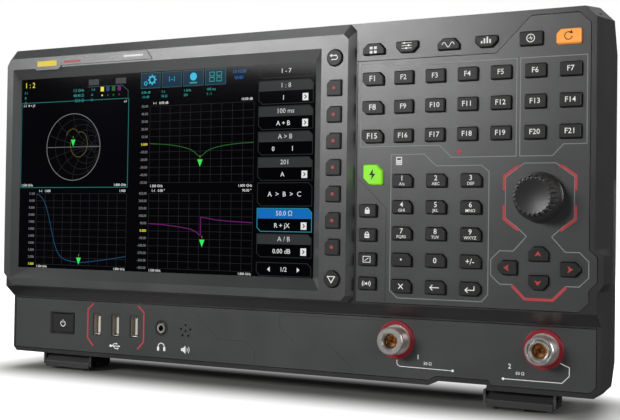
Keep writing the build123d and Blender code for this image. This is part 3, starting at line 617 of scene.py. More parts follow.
for node in SOFT_KEYS:
    marks, spot = legend_at(node)
    marks.disc(RED_INK, spot.x, spot.z, 1.0)
marks, spot = legend_at("return_key")
hook = [(-2.2, 1.2), (1.0, 1.2)] + circle(1.0, 0.0, 1.2, 90, -90, 10) + [(-1.8, -1.2)]
marks.line(WHITE_INK, about(hook, spot.x, spot.z), 0.55)
marks.area(WHITE_INK, about([(-2.9, 1.2), (-1.3, 0.1), (-1.3, 2.3)], spot.x, spot.z))
marks, spot = legend_at("page_key")
marks.line(WHITE_INK, about([(-2.3, 1.5), (2.3, 1.5), (0, -2.1)], spot.x, spot.z), 0.55, closed=True)
marks, spot = legend_at("power_key")
marks.ring(WHITE_INK, spot.x, spot.z - 0.2, 1.9, 0.5, start=125, end=415)
marks.line(WHITE_INK, [(spot.x, spot.z + 0.2), (spot.x, spot.z + 2.5)], 0.5)

for marks in LEGENDS:
    marks.place()


# ---------------------------------------------------------------- lower panel: marks and contours
lower = Print("lower_print", "housing", LOWER_Y)
usb_low, usb_high = span("usb_ports")
usb = (usb_low + usb_high) / 2
BRACKET_HALF = (usb_high.x - usb_low.x) / 2 + 4.3
BRACKET_INNER = BRACKET_HALF - 4.8
for side in (-1, 1):
    bracket = [(BRACKET_INNER, 14.0), (BRACKET_HALF, 9.8), (BRACKET_HALF, -9.4), (BRACKET_INNER, -14.6)]
    lower.line(RED_INK, about(bracket, usb.x, usb.z, (side, 1)), 1.0)


def usb_mark(x, z):
    """The common trident mark."""
    lower.line(WHITE_INK, [(x - 3.6, z), (x + 3.2, z)], 0.5)
    lower.area(WHITE_INK, [(x + 2.8, z - 0.8), (x + 4.2, z), (x + 2.8, z + 0.8)])
    lower.disc(WHITE_INK, x - 3.6, z, 0.9)
    lower.line(WHITE_INK, [(x - 2.2, z), (x - 0.8, z + 1.6), (x + 1.0, z + 1.6)], 0.45)
    lower.disc(WHITE_INK, x + 1.2, z + 1.6, 0.55)
    lower.line(WHITE_INK, [(x - 1.4, z), (x, z - 1.6), (x + 1.8, z - 1.6)], 0.45)
    lower.box(WHITE_INK, x + 1.6, x + 2.6, z - 2.1, z - 1.1)


usb_mark(usb.x, usb.z - 13.6)
jack = middle("headphone_jack")
lower.ring(WHITE_INK, jack.x, jack.z - 12.2, 2.4, 0.6, start=-10, end=190)
for side in (-1, 1):
    x = jack.x + side * 2.4
    lower.box(WHITE_INK, x - 0.8, x + 0.8, jack.z - 14.8, jack.z - 12.2, low_left=0.3, low_right=0.3)
SPEAKER_OFFSET = 18.5
speaker = (jack.x + SPEAKER_OFFSET, jack.z - 12.9)
cone = [(-3.2, -0.9), (-1.8, -0.9), (0.2, -2.6), (0.2, 2.6), (-1.8, 0.9), (-3.2, 0.9)]
lower.area(WHITE_INK, about(cone, *speaker))
for radius in (1.6, 3.0):
    lower.line(WHITE_INK, circle(speaker[0], speaker[1], radius, -40, 40, 8), 0.45)

# Leader lines from the ports to their numbers
(x1, z1), (x2, z2) = PORTS
LEADER = 0.36
leader = [(0.4, -11.6), (0.6, -14.2), (2.4, -15.2), (34.1, -15.5)]
lower.line(WHITE_INK, about(leader, x1, z1), LEADER)
lower.disc(WHITE_INK, x1 + 34.1, z1 - 15.5, 0.75)
leader = [(9.2, -7.0), (14.0, -9.0), (14.0, -13.6), (10.2, -17.6), (-22.2, -17.6)]
lower.line(WHITE_INK, about(leader, x2, z2), LEADER)
lower.disc(WHITE_INK, x2 - 22.2, z2 - 17.6, 0.75)
lower.text(WHITE_INK, "1", x1 + 13.4, z1 - 9.2, 2.6, weight=0.03)
lower.text(WHITE_INK, "50 Ω", x1 + 19.2, z1 - 12.6, 1.7, weight=0.01)
lower.text(WHITE_INK, "2", x2 - 18.6, z2 - 10.6, 2.6, weight=0.03)
lower.text(WHITE_INK, "50 Ω", x2 - 12.8, z2 - 14.2, 1.7, weight=0.01)

# Shallow moulded contours, drawn as painted shade lines
CONTOUR = 0.35
for contour in (
    [(-54.8, 46.6), (-36.0, 28.4), (-15.4, 28.4), (-9.2, 23.0), (-9.2, 14.2)],
    [(76.0, 46.2), (9.8, 46.2), (8.2, 44.8), (8.2, 39.0), (18.4, 30.2)],
    [(41.8, 30.0), (57.4, 16.6)],
):
    lower.line(SEAM_SHADE_AND_DARK_PRINT, contour, CONTOUR, lift=0.03)
lower.place()


# ---------------------------------------------------------------- bezel: blank nameplate strip
def slab(name, outline, y_front, thick, material, body, soft=0.15):
    """A flat plate of an (x, z) outline with softened edges."""
    count = len(outline)
    verts = [(x, y_front, z) for x, z in outline] + [(x, y_front + thick, z) for x, z in outline]
    faces = [tuple(range(count)), tuple(reversed(range(count, 2 * count)))]
    faces += [(i, i + count, (i + 1) % count + count, (i + 1) % count) for i in range(count)]
    obj = piece(name, verts, faces, material, body)
    edges = obj.modifiers.new("soft_edges", "BEVEL")
    edges.width = soft * MM
    edges.segments = 2
    edges.limit_method = "ANGLE"
    return obj


bezel_top = span("display_bezel")[1].z
STRIP_Z = bezel_top - 7.2
strip = [(-78.8, STRIP_Z - 6.0), (-83.2, STRIP_Z), (-175.6, STRIP_Z), (-175.6, STRIP_Z - 6.2)]
strip += [(-173.2, STRIP_Z - 8.6), (-154.6, STRIP_Z - 8.6), (-152.0, STRIP_Z - 6.0)]
slab("nameplate_strip", strip, BEZEL_Y - 0.5, 0.5, FINISH["panel_plastic"], "housing")
plain = Print("nameplate_print", "housing", BEZEL_Y - 0.5)
plain.line(GREY_INK, [(x, z - 0.3) for x, z in strip[:3]], 0.3)
plain.box(YELLOW_INK, -172.6, -156.0, STRIP_Z - 6.0, STRIP_Z - 2.4)
plain.box(RED_INK, -150.0, -136.0, STRIP_Z - 4.4, STRIP_Z - 3.2)
for drop, end in ((1.7, -104.0), (3.6, -108.0)):
    plain.line(GREY_INK, [(-132.0, STRIP_Z - drop), (end, STRIP_Z - drop)], 0.5)
plain.line(WHITE_INK, [(-101.0, STRIP_Z - 2.9), (-86.0, STRIP_Z - 2.9)], 1.1)
plain.place()


# ---------------------------------------------------------------- tuning knob
def tuning_knob():
    """A tapered knob with a notched rim and a dished face."""
    low, high = span("tuning_knob")
    front, back = low.y, high.y
    base_radius = (high.x - low.x) / 2
    profile = [
        (back, 0.0),
        (back, base_radius - 0.4),
        (back - 0.4, base_radius),
        (back - 2.6, base_radius - 0.15),
        (back - 3.0, base_radius - 0.5),
        (back - 3.1, base_radius - 0.9),
    ]
    steps = 14
    cone_back, cone_front = back - 3.2, front + 0.8
    for i in range(steps + 1):
        t = i / steps
        profile.append((cone_back + (cone_front - cone_back) * t, base_radius - 1.0 - 1.9 * t ** 1.4))
    rim = base_radius - 2.9
    profile += [(front + 0.35, rim - 0.15), (front + 0.08, rim - 0.5)]
    profile += [(front, rim - 1.0), (front + 0.1, rim - 1.5)]
    for i in range(8):
        t = (i + 1) / 8
        profile.append((front + 0.1 + 0.8 * math.sin(t * math.pi / 2), (rim - 1.5) * (1 - t)))
    notches = 24

    def notched(depth, radius, angle):
        """Notches that fade from the rim towards the base."""
        share = max(0.0, 1 - max(0.0, depth - front) / 7.5)
        if radius < rim - 1.2:
            return radius
        phase = (angle * notches / (2 * math.pi)) % 1.0
        near = max(0.0, 1 - abs(phase - 0.5) / 0.2)
        return radius - 0.95 * near ** 0.6 * share ** 0.7

    verts, faces = lathe(profile, KNOB.x, KNOB.z, notches * 12, notched)
    knob = piece("tuning_knob_cap", verts, faces, FINISH["knob_plastic"], "tuning_knob")
    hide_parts("tuning_knob")


tuning_knob()


# ---------------------------------------------------------------- ports
def barrel_profile(mouth, back, radius, bore, groove):
    """Depths and radii of a type N socket: from its back over the thread, and down the bore."""
    profile = [(back, bore), (back, radius + 1.2), (LOWER_Y - 0.6, radius + 1.2)]
    profile += [(LOWER_Y - 0.9, radius + 0.9), (LOWER_Y - 0.9, radius - 0.8), (LOWER_Y - 1.6, radius - 0.8)]
    pitch = 25.4 / 24
    turns = 6
    start = LOWER_Y - 1.8
    for i in range(turns):
        depth = start - i * pitch
        profile += [(depth, radius - 0.55), (depth - 0.35 * pitch, radius), (depth - 0.6 * pitch, radius)]
    end = start - turns * pitch
    profile += [(end, radius - 0.55), (end - 0.4, radius - 0.1)]
    profile += [(mouth + 0.5, radius - 0.05), (mouth, radius - 0.5)]
    if groove:
        profile += [(mouth, radius - 1.2), (mouth + 0.2, radius - 1.5), (mouth + 3.0, radius - 1.5)]
        profile += [(mouth + 3.0, bore + 1.5), (mouth + 0.4, bore + 1.5), (mouth + 0.2, bore + 1.2)]
    lip = mouth + (0.2 if groove else 0.0)
    profile += [(lip, bore + 0.9), (mouth + 0.8, bore + 0.1), (mouth + 1.4, bore)]
    return profile


INSULATOR = moulded("insulator", (0.75, 0.36, 0.18), 0.4)
THREAD_R = 7.94
PORT_BORE_R = 4.2


def ports():
    """Each type N socket: threaded barrel, insulator and contact sleeve."""
    nickel, gold = FINISH["nickel_plate"], FINISH["gold_plate"]
    low, high = span("port_connectors")
    mouth, back = low.y, high.y
    bore = PORT_BORE_R
    for number, (x, z) in enumerate(PORTS, 1):
        profile = barrel_profile(mouth, back, THREAD_R, bore, groove=number == 2)
        verts, faces = closed_lathe(profile, x, z, 96)
        barrel = piece(f"port_{number}_barrel", verts, faces, nickel, "housing")
        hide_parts("port_connectors")
        floor = mouth + 6.5
        insulator = [(back - 1, 0.0), (back - 1, bore - 0.05), (floor, bore - 0.05), (floor, 1.7)]
        insulator += [(floor + 0.3, 1.6), (floor + 0.3, 0.0)]
        verts, faces = lathe(insulator, x, z, 64)
        piece(f"port_{number}_insulator", verts, faces, INSULATOR, "housing")
        sleeve = [(floor + 0.5, 3.55), (mouth + 3.2, 3.55), (mouth + 3.0, 3.35)]
        sleeve += [(mouth + 3.2, 3.1), (floor + 0.5, 3.1)]
        verts, faces = closed_lathe(sleeve, x, z, 64)
        piece(f"port_{number}_sleeve", verts, faces, gold, "housing")


ports()


# ---------------------------------------------------------------- USB sockets and headphone jack
def rounded_box(name, x0, x1, y0, y1, z0, z1, material, body="housing", slot=None, soft=0.15):
    return slab(name, [(x0, z0), (x1, z0), (x1, z1), (x0, z1)], y0, y1 - y0, material, body, soft)


def tube(name, outer, inner, y0, y1, material):
    """A straight tube between two outlines with as many corners."""
    count = len(outer)
    verts = []
    for outline, y in ((outer, y0), (outer, y1), (inner, y1), (inner, y0)):
        verts += [(x, y, z) for x, z in outline]
    faces = []
    for ring in range(4):
        a, b = ring * count, ((ring + 1) % 4) * count
        for i in range(count):
            j = (i + 1) % count
            faces.append((a + i, b + i, b + j, a + j))
    return piece(name, verts, faces, material, "housing", flat=True)


CREAM = moulded("contact_block", (0.85, 0.8, 0.68), 0.4)
SCREW = metal("screw_steel", (0.35, 0.35, 0.36), 0.3)


def usb_sockets():
    """Each socket: black surround, folded shell, and a pale contact block with four contacts."""
    depth = usb_high.y - usb_low.y
    width = 6.8
    pitch = (usb_high.x - usb_low.x - width) / 2
    front = LOWER_Y + 0.2
    block_back = front + 11
    low, high = usb.z - 6.3, usb.z + 6.3
    black, nickel, gold = FINISH["black_plastic"], FINISH["nickel_plate"], FINISH["gold_plate"]
    for i in range(3):
        x = usb_low.x + width / 2 + pitch * i
        surround = tube(
            f"usb_{i + 1}_surround",
            clipped(x - 3.4, x + 3.4, usb.z - 7.3, usb.z + 7.3),
            clipped(x - 2.9, x + 2.9, usb.z - 6.6, usb.z + 6.6),
            front,
            front + 12,
            black,
        )
        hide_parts("usb_ports")
        tube(
            f"usb_{i + 1}_shell",
            clipped(x - 2.86, x + 2.86, usb.z - 6.55, usb.z + 6.55),
            clipped(x - 2.56, x + 2.56, usb.z - 6.25, usb.z + 6.25),
            front + 0.5,
            front + depth - 0.5,
            nickel,
        )
        rounded_box(f"usb_{i + 1}_back", x - 2.6, x + 2.6, block_back, front + 12, low, high, black)
        place = (x + 0.2, x + 2.0, front + 1.0, block_back, low + 0.7, high - 0.9)
        rounded_box(f"usb_{i + 1}_tongue", *place, CREAM)
        for k in range(4):
            z = usb.z - 3.75 + 2.5 * k
            name = f"usb_{i + 1}_contact_{k + 1}"
            place = (x + 0.1, x + 0.22, front + 2.5, front + 10, z - 0.5, z + 0.5)
            rounded_box(name, *place, gold, slot="gold_plate", soft=0.03)
        place = (x - 1.6, x + 2.3, front + 0.3, front + 0.9, low - 0.7, low + 0.1)
        rounded_box(f"usb_{i + 1}_lip", *place, nickel, soft=0.2)


usb_sockets()


def jack_sleeve():
    """The bright nut inside the headphone jack's mouth."""
    profile = [(LOWER_Y - 0.7, 1.85), (LOWER_Y - 0.9, 2.1), (LOWER_Y - 0.9, 2.9), (LOWER_Y - 0.6, 3.15)]
    profile += [(LOWER_Y + 2.0, 3.15), (LOWER_Y + 2.0, 1.85)]
    verts, faces = closed_lathe(profile, jack.x, jack.z, 64)
    piece("jack_sleeve", verts, faces, FINISH["nickel_plate"], "housing")
    ring = [(LOWER_Y - 0.05, 4.0), (LOWER_Y - 0.3, 4.3), (LOWER_Y - 0.3, 5.0), (LOWER_Y - 0.05, 5.3)]
    ring += [(LOWER_Y + 1.0, 5.3), (LOWER_Y + 1.0, 4.0)]
    verts, faces = closed_lathe(ring, jack.x, jack.z, 64)
    piece("jack_ring", verts, faces, FINISH["black_plastic"], "housing")


jack_sleeve()


# ---------------------------------------------------------------- back: screws, rating plate and marks
def screw(name, x, y, z, radius=2.6):
    """A domed screw with a hexagonal socket, facing the back."""
    socket = radius * 0.45
    profile = [(y - 0.4, 0.0), (y - 0.4, radius), (y + 0.5, radius), (y + 1.1, radius * 0.75)]
    profile += [(y + 1.2, socket), (y + 0.2, socket), (y + 0.2, 0.0)]

    def hexagonal(depth, r, angle):
        if r != socket:
            return r
        return r / math.cos((angle + math.pi / 6) % (math.pi / 3) - math.pi / 6)

    verts, faces = lathe(profile, x, z, 36, hexagonal)
    return piece(name, verts, faces, SCREW, "housing")


rear_low, rear_high = span("rear_panel")
REAR_Y = rear_high.y
SCREW_INSET = 6.0
for row, z in enumerate((rear_low.z + SCREW_INSET, rear_high.z - SCREW_INSET)):
    for column in range(4):
        x = rear_low.x + SCREW_INSET + (rear_high.x - rear_low.x - 2 * SCREW_INSET) * column / 3
        screw(f"rear_screw_{row + 1}_{column + 1}", x, REAR_Y, z)
fan = middle("fan_frame")
shell_back = span("rear_shell")[1].y
FAN_SCREW = 31.0
for row, dz in enumerate((-FAN_SCREW, FAN_SCREW)):
    for column, dx in enumerate((-FAN_SCREW, FAN_SCREW)):
        screw(f"fan_screw_{row + 1}_{column + 1}", fan.x + dx * 0.93, shell_back, fan.z + dz, 2.2)

rear = Print("rear_print", "housing", REAR_Y, back=True)
RATING_X, RATING_Z = -72.0, 92.0
rear.box(FINISH["sheet_aluminium"], RATING_X - 26.0, RATING_X + 26.0, RATING_Z - 15.0, RATING_Z + 15.0, 0.1)
for i in range(5):
    z = RATING_Z + 9.0 - 4.5 * i
    rear.line(DARK_INK, [(RATING_X - 22.0, z), (RATING_X + 8.0 + 4.0 * (i % 3), z)], 0.6, lift=0.15)
bnc_low, bnc_high = span("rear_bnc_jacks")
bnc_z = (bnc_low.z + bnc_high.z) / 2
bnc_radius = (bnc_high.z - bnc_low.z) / 2
for i in range(4):
    x = -(bnc_low.x + bnc_radius + (bnc_high.x - bnc_low.x - 2 * bnc_radius) * i / 3)
    rear.text(WHITE_INK, str(4 - i), x, bnc_z - 12.0, 3.2, weight=0.02)
    rear.line(GREY_INK, [(x - 9.0, bnc_z - 15.5), (x + 9.0, bnc_z - 15.5)], 0.4)
inlet = middle("mains_inlet")
rear.text(WHITE_INK, "~", -inlet.x, inlet.z + 19.0, 4.0, weight=0.03)
outline = clipped(-inlet.x - 20, -inlet.x + 20, inlet.z - 16, inlet.z + 16, 2, 2, 2, 2)
rear.line(GREY_INK, outline, 0.4, closed=True)
sockets_low, sockets_high = span("data_ports")
sockets_z = (sockets_low.z + sockets_high.z) / 2
outline = clipped(-sockets_high.x - 5, -sockets_low.x + 5, sockets_z - 12, sockets_z + 12, 2, 2, 2, 2)
rear.line(GREY_INK, outline, 0.4, closed=True)
rear.place()


# ---------------------------------------------------------------- display picture
LCD_WHITE = glow("lcd_white", (0.86, 0.88, 0.86), 0.9)
LCD_GREY = glow("lcd_grey", (0.19, 0.20, 0.20))
LCD_DIM = glow("lcd_dim", (0.06, 0.06, 0.065))
LCD_GRID = glow("lcd_grid", (0.019, 0.020, 0.021))
LCD_BAR = glow("lcd_bar", (0.034, 0.036, 0.036))
LCD_EDGE = glow("lcd_edge", (0.03, 0.10, 0.11))
LCD_RIM = glow("lcd_rim", (0.022, 0.024, 0.025))
LCD_LIT_RIM = glow("lcd_lit_rim", (0.03, 0.28, 0.38))
LCD_TEAL = glow("lcd_teal", (0.03, 0.30, 0.28))
LCD_FRAME = glow("lcd_frame", (0.02, 0.16, 0.15))
LCD_LOOP = glow("lcd_loop", (0.14, 0.11, 0.02))
LCD_BLUE = glow("lcd_blue", (0.006, 0.15, 0.50))
LCD_NAVY = glow("lcd_navy", (0.004, 0.026, 0.055))
LCD_CYAN = glow("lcd_cyan", (0.04, 0.52, 0.75))
LCD_GREEN = glow("lcd_green", (0.04, 0.85, 0.12))
LCD_LEAF = glow("lcd_leaf", (0.025, 0.14, 0.025))
LCD_YELLOW = glow("lcd_yellow", (0.85, 0.78, 0.06))
LCD_AMBER = glow("lcd_amber", (0.35, 0.20, 0.02))
LCD_VIOLET = glow("lcd_violet", (0.16, 0.012, 0.15))
LCD_SKY = glow("lcd_sky", (0.012, 0.07, 0.15))

screen = Print("screen", "housing", GLASS_Y)
left, right, bottom, top = WINDOW
ROWS = 10
soft_spots = [middle(node) for node in SOFT_KEYS]
SOFT_PITCH = (soft_spots[0].z - soft_spots[-1].z) / (len(SOFT_KEYS) - 1)
MENU_LEFT, MENU_RIGHT = right - 38.6, right - 1.6


def marker(x, z, size=4.6):
    """A measuring marker: a green triangle with a stem above it."""
    screen.area(LCD_GREEN, [(x - size * 0.42, z + size), (x, z), (x + size * 0.42, z + size)], 0.09)
    screen.line(LCD_AMBER, [(x, z + size + 0.8), (x, z + size + 2.4)], 0.35, lift=0.09)


def grid(x0, x1, z0, z1, columns=10, rows=ROWS):
    for i in range(columns + 1):
        x = x0 + (x1 - x0) * i / columns
        screen.line(LCD_GRID, [(x, z0), (x, z1)], 0.24, lift=0.05)
    for i in range(rows + 1):
        z = z0 + (z1 - z0) * i / rows
        screen.line(LCD_GRID, [(x0, z), (x1, z)], 0.24, lift=0.05)


def scale_column(x, z0, z1, first, step, lit, rows=ROWS):
    """The numbers beside a plot, one for each line, the reference one lit."""
    for i in range(rows + 1):
        z = z1 + (z0 - z1) * i / rows
        value = first + step * i
        words = f"{value:.3f}" if abs(value) < 10 else f"{value:.2f}"
        screen.text(LCD_YELLOW if i == lit else LCD_GREY, words, x, z, 1.6, align="RIGHT", weight=0.02)


def caption(x, z, words, align="LEFT", material=None, size=1.7):
    screen.text(material or LCD_WHITE, words, x, z, size, align=align, weight=0.01)


def smith_chart(cx, cz, radius):
    """Circles of constant resistance and arcs of constant reactance inside the unit circle."""
    screen.ring(LCD_GREY, cx, cz, radius, 0.42, lift=0.06, count=96)
    screen.line(LCD_GREY, [(cx - radius, cz), (cx + radius, cz)], 0.3, lift=0.06)
    for resistance in (0.2, 0.5, 1.0, 2.0, 5.0):
        r = radius / (1 + resistance)
        screen.ring(LCD_GRID, cx + radius - r, cz, r, 0.25, lift=0.05, count=64)
    for reactance in (0.2, 0.5, 1.0, 2.0, 5.0):
        r = radius / reactance
        for side in (-1, 1):
            inside = []
            for i in range(181):
                angle = math.radians(90 + 180 * i / 180)
                x = radius + r * math.cos(angle)
                z = r - r * math.sin(angle)
                if math.hypot(x, z) <= radius:
                    inside.append((cx + x, cz + side * z))
            if len(inside) > 2:
                screen.line(LCD_GRID, inside, 0.25, lift=0.05)
    loop = []
    for i in range(49):
        t = i / 48
        swing = radius * (0.30 + 0.22 * math.sin(2.2 * math.pi * t))
        angle = math.radians(-150 + 330 * t)
        x = cx + 0.16 * radius + swing * math.cos(angle)
        z = cz + 0.34 * radius + swing * 1.25 * math.sin(angle)
        loop.append((x, z))
    screen.line(LCD_LOOP, loop, 0.3, lift=0.07)
    marker(cx, cz + 0.5, 4.4)


def status_area():
    """The top of the picture: buttons, readings and the clock."""
    z = top - 4.6
    for x in (left + 62.0, left + 84.0):
        screen.box(LCD_DIM, x - 4.2, x + 4.2, z - 1.9, z + 1.9, 0.05)
    caption(left + 3.0, top - 4.4, "1 : 2", material=LCD_YELLOW, size=3.6)
    for i, words in enumerate(("1.5 GHz", "48.40 Ω", "23.5 Ω")):
        row_z = top - 9.6 - 3.4 * i
        caption(left + 3.0, row_z, ("f 1", "R", "X")[i], material=LCD_TEAL, size=1.8)
        caption(left + 54.0, row_z, words, "RIGHT", LCD_TEAL, 1.9)
    for i, material in enumerate((LCD_YELLOW, LCD_SKY, LCD_LEAF, LCD_VIOLET)):
        x = left + 69.0 + 4.6 * i
        screen.box(material, x - 1.3, x + 1.3, top - 11.0, top - 8.0, 0.05)
        screen.disc(material, x, top - 13.6, 0.6, 0.05)
    for i in range(3):
        caption(left + 60.0, top - 9.6 - 3.4 * i, ("1-4", "A", "B")[i], material=LCD_TEAL, size=1.6)
    edge = about([(57.0, -7.6), (85.0, -7.6), (90.0, -11.2), (90.0, -15.8)], left, top)
    screen.line(LCD_EDGE, edge, 0.35, lift=0.06)
    for i in range(4):
        x = left + 107.6 + 16.3 * i
        low, high = top - 10.6, top - 0.8
        screen.box(LCD_NAVY, x - 7.4, x + 7.4, low, high, 0.05)
        screen.line(LCD_EDGE, clipped(x - 7.4, x + 7.4, low, high), 0.35, closed=True, lift=0.06)
    x, z = left + 107.6, top - 5.6
    screen.ring(LCD_CYAN, x + 1.2, z + 0.3, 2.0, 0.9, lift=0.07, count=24)
    for i in range(8):
        angle = math.radians(45 * i)
        tooth = [(x + 1.2 + r * math.cos(angle), z + 0.3 + r * math.sin(angle)) for r in (2.3, 3.3)]
        screen.line(LCD_CYAN, tooth, 0.9, lift=0.07)
    screen.ring(LCD_CYAN, x - 3.8, z - 1.8, 1.1, 0.5, lift=0.07, count=20)
    caption(x + 16.3, z, "1-1", "CENTER", LCD_CYAN, 3.2)
    screen.disc(LCD_CYAN, x + 32.6, z + 0.8, 2.5, 0.07)
    screen.box(LCD_TEAL, x + 29.8, x + 35.4, z - 3.6, z - 2.6, 0.07)
    for dx in (-2.6, 2.6):
        for dz in (-1.7, 1.7):
            spot = (x + 48.9 + dx, z + dz)
            pane = clipped(spot[0] - 1.7, spot[0] + 1.7, spot[1] - 1.2, spot[1] + 1.2)
            screen.line(LCD_TEAL, pane, 0.45, closed=True, lift=0.07)
    caption(x + 66.0, z + 2.2, "10:10:30", "CENTER", LCD_BLUE, 2.0)
    caption(x + 66.0, z - 1.6, "01/01", "CENTER", LCD_BLUE, 2.0)
    rows = (("0.00 dB", "1-1", "1 kHz", "100 ms"), ("-10 dB", "50 Ω", "201", "1 : 1"))
    for i, row in enumerate(rows):
        for across, words in zip((100.6, 116.0, 133.0, 150.0), row):
            caption(left + across, top - 13.4 - 2.9 * i, words, material=LCD_TEAL, size=1.6)


def plot(x0, x1, z0, z1, column, title, per_line, drop=1.5, size=1.5):
    """A plot's grid, the numbers beside it and the words at its corners."""
    grid(x0, x1, z0, z1)
    scale_column(x0 - 1.6, z0, z1, *column)
    caption(x0 + 2.0, z1 + 1.8, title, size=1.6)
    caption(x1 - 1.0, z1 + 1.8, per_line, "RIGHT", size=1.6)
    caption(x0 + 0.6, z0 - drop, "1.500 GHz", size=size)
    caption(x1 - 0.6, z0 - drop, "1.800 GHz", "RIGHT", size=size)


def plots():
    """Four plots of one measurement."""
    frame_left, frame_right = left + 0.6, left + 90.6
    frame_low, frame_high = bottom + 54.8, top - 16.4
    outline = clipped(frame_left, frame_right, frame_low, frame_high)
    screen.line(LCD_FRAME, outline, 0.45, closed=True, lift=0.06)
    caption(frame_left + 1.4, frame_high - 1.9, "1-1  R + jX", size=1.6)
    caption(frame_right - 1.4, frame_high - 1.9, "x1", "RIGHT", size=1.6)
    caption(frame_left + 0.8, frame_low + 1.5, "1.500 GHz", size=1.6)
    caption(frame_right - 1.0, frame_low + 1.5, "1.800 GHz", "RIGHT", size=1.6)
    smith_chart(left + 45.6, bottom + 82.0, 22.4)

    x0, x1, z0, z1 = left + 107.6, left + 184.4, bottom + 57.6, bottom + 107.0
    plot(x0, x1, z0, z1, (50, -10, 5), "1-1   0.00 dB", "10.00 dB", 2.2, 1.6)
    trace = []
    for i in range(61):
        t = i / 60
        dip = 1 / (1 + ((t - 0.5) / 0.055) ** 2)
        broad = 1 / (1 + ((t - 0.5) / 0.25) ** 2)
        share = 0.51 - 0.105 * dip - 0.085 * broad + 0.02 * (1 - t)
        trace.append((x0 + (x1 - x0) * t, z0 + (z1 - z0) * share))
    screen.line(LCD_LEAF, trace, 0.4, lift=0.07)
    marker((x0 + x1) / 2, z0 + (z1 - z0) * 0.2)

    x0, x1, z0, z1 = left + 15.0, left + 90.2, bottom + 2.6, bottom + 50.6
    plot(x0, x1, z0, z1, (11, -1, 10), "1-1   1.000", "1.000")
    trace = []
    for i in range(61):
        t = i / 60
        fall = 1 / (1 + math.exp((t - 0.17) / 0.04))
        rise = max(0.0, t - 0.5) ** 1.2 * 0.24
        share = 0.04 + 0.9 * fall + 0.07 * (t < 0.5) * (1 - 2 * t) + rise
        trace.append((x0 + (x1 - x0) * t, z0 + (z1 - z0) * share))
    screen.line(LCD_SKY, trace, 0.45, lift=0.07)
    marker(x0 + (x1 - x0) * 0.49, z0 + 0.6)

    x0, x1 = left + 107.6, left + 184.4
    plot(x0, x1, z0, z1, (450, -90, 5), "1-1   0.00 °", "90.00 °")
    wide, tall = x1 - x0, z1 - z0
    trace = [(0, 0.595), (0.15, 0.585), (0.3, 0.56), (0.42, 0.53), (0.48, 0.49), (0.515, 0.45), (0.515, 0.69)]
    trace += [(0.57, 0.68), (0.66, 0.655), (0.8, 0.64), (1, 0.625)]
    screen.line(LCD_VIOLET, [(x0 + wide * t, z0 + tall * v) for t, v in trace], 0.5, lift=0.07)
    marker(x0 + wide * 0.53, z0 + tall * 0.3)


MENU_WORDS = [("1 : 8", "1"), ("100 ms", "A + B"), ("A > B", "0          1"), ("201", "A")]
MENU_WORDS += [(None, "A  >  B  >  C"), ("50.0 Ω", "R + jX"), ("A / B", "0.00 dB")]
# The row that shows two choices in place of an arrow box, and the row that is picked out
SWITCH_ROW = 2
LIT_ROW = 5


def menu_box(x0, x1, z0, z1, lit=False):
    edge = LCD_LIT_RIM if lit else LCD_RIM
    outline = clipped(x0, x1, z0, z1, low_left=2.4, top_right=2.4)
    screen.line(edge, outline, 0.4, closed=True, lift=0.06)


def menu():
    """The column of on-screen keys beside the soft keys."""
    x0, x1 = MENU_LEFT, MENU_RIGHT
    centre = (x0 + x1) / 2
    menu_box(x0, x1, top - 8.6, top - 0.8)
    caption(centre, top - 4.7, "1 - 7", "CENTER", size=2.7)
    half = SOFT_PITCH / 2 - 0.75
    for i, (title, words) in enumerate(MENU_WORDS):
        z = soft_spots[i].z
        lit = i == LIT_ROW
        low, high = z - half, z + half
        menu_box(x0, x1, low, high, lit)
        if title:
            bar = LCD_BLUE if lit else LCD_BAR
            screen.box(bar, x0 + 0.3, x1 - 0.3, z + 0.8, high - 0.3, 0.05, top_right=2.2)
            caption(centre, z + half / 2 + 0.4, title, "CENTER", size=2.9)
            caption(centre - 1.5, z - half / 2, words, "CENTER", size=2.8)
            if i == SWITCH_ROW:
                continue
            box_x = x1 - 5.2
            screen.box(LCD_WHITE, box_x - 1.9, box_x + 1.9, z - half / 2 - 2.2, z - half / 2 + 2.2, 0.06)
            arrow = about([(-0.6, 1.1), (0.6, 0), (-0.6, -1.1)], box_x, z - half / 2)
            screen.line(LCD_BAR, arrow, 0.6, lift=0.09)
        else:
            caption(centre, z, words, "CENTER", size=3.0)
    z = bottom + 4.6
    menu_box(x0, x1, bottom + 0.6, bottom + 8.6)
    caption(centre, z, "1/2", "CENTER", size=2.7)
    for side in (-1, 1):
        tip = centre + side * 11.0
        points = [(tip, z), (tip - side * 1.8, z + 1.5), (tip - side * 1.8, z - 1.5)]
        screen.area(LCD_WHITE, points if side < 0 else points[::-1], 0.07)


status_area()
plots()
menu()
screen.place()


# ---------------------------------------------------------------- studio: floor, light and camera
# The painted contact shadow on the floor: no glow in this box under the front, fading in over the last
# distance, in metres.
PAINTED_SHADOW_MIDDLE = (0.0, -0.019, 0.0)
PAINTED_SHADOW_HALF = (0.185, 0.019, 1.0)
PAINTED_SHADOW_FADE = 0.065


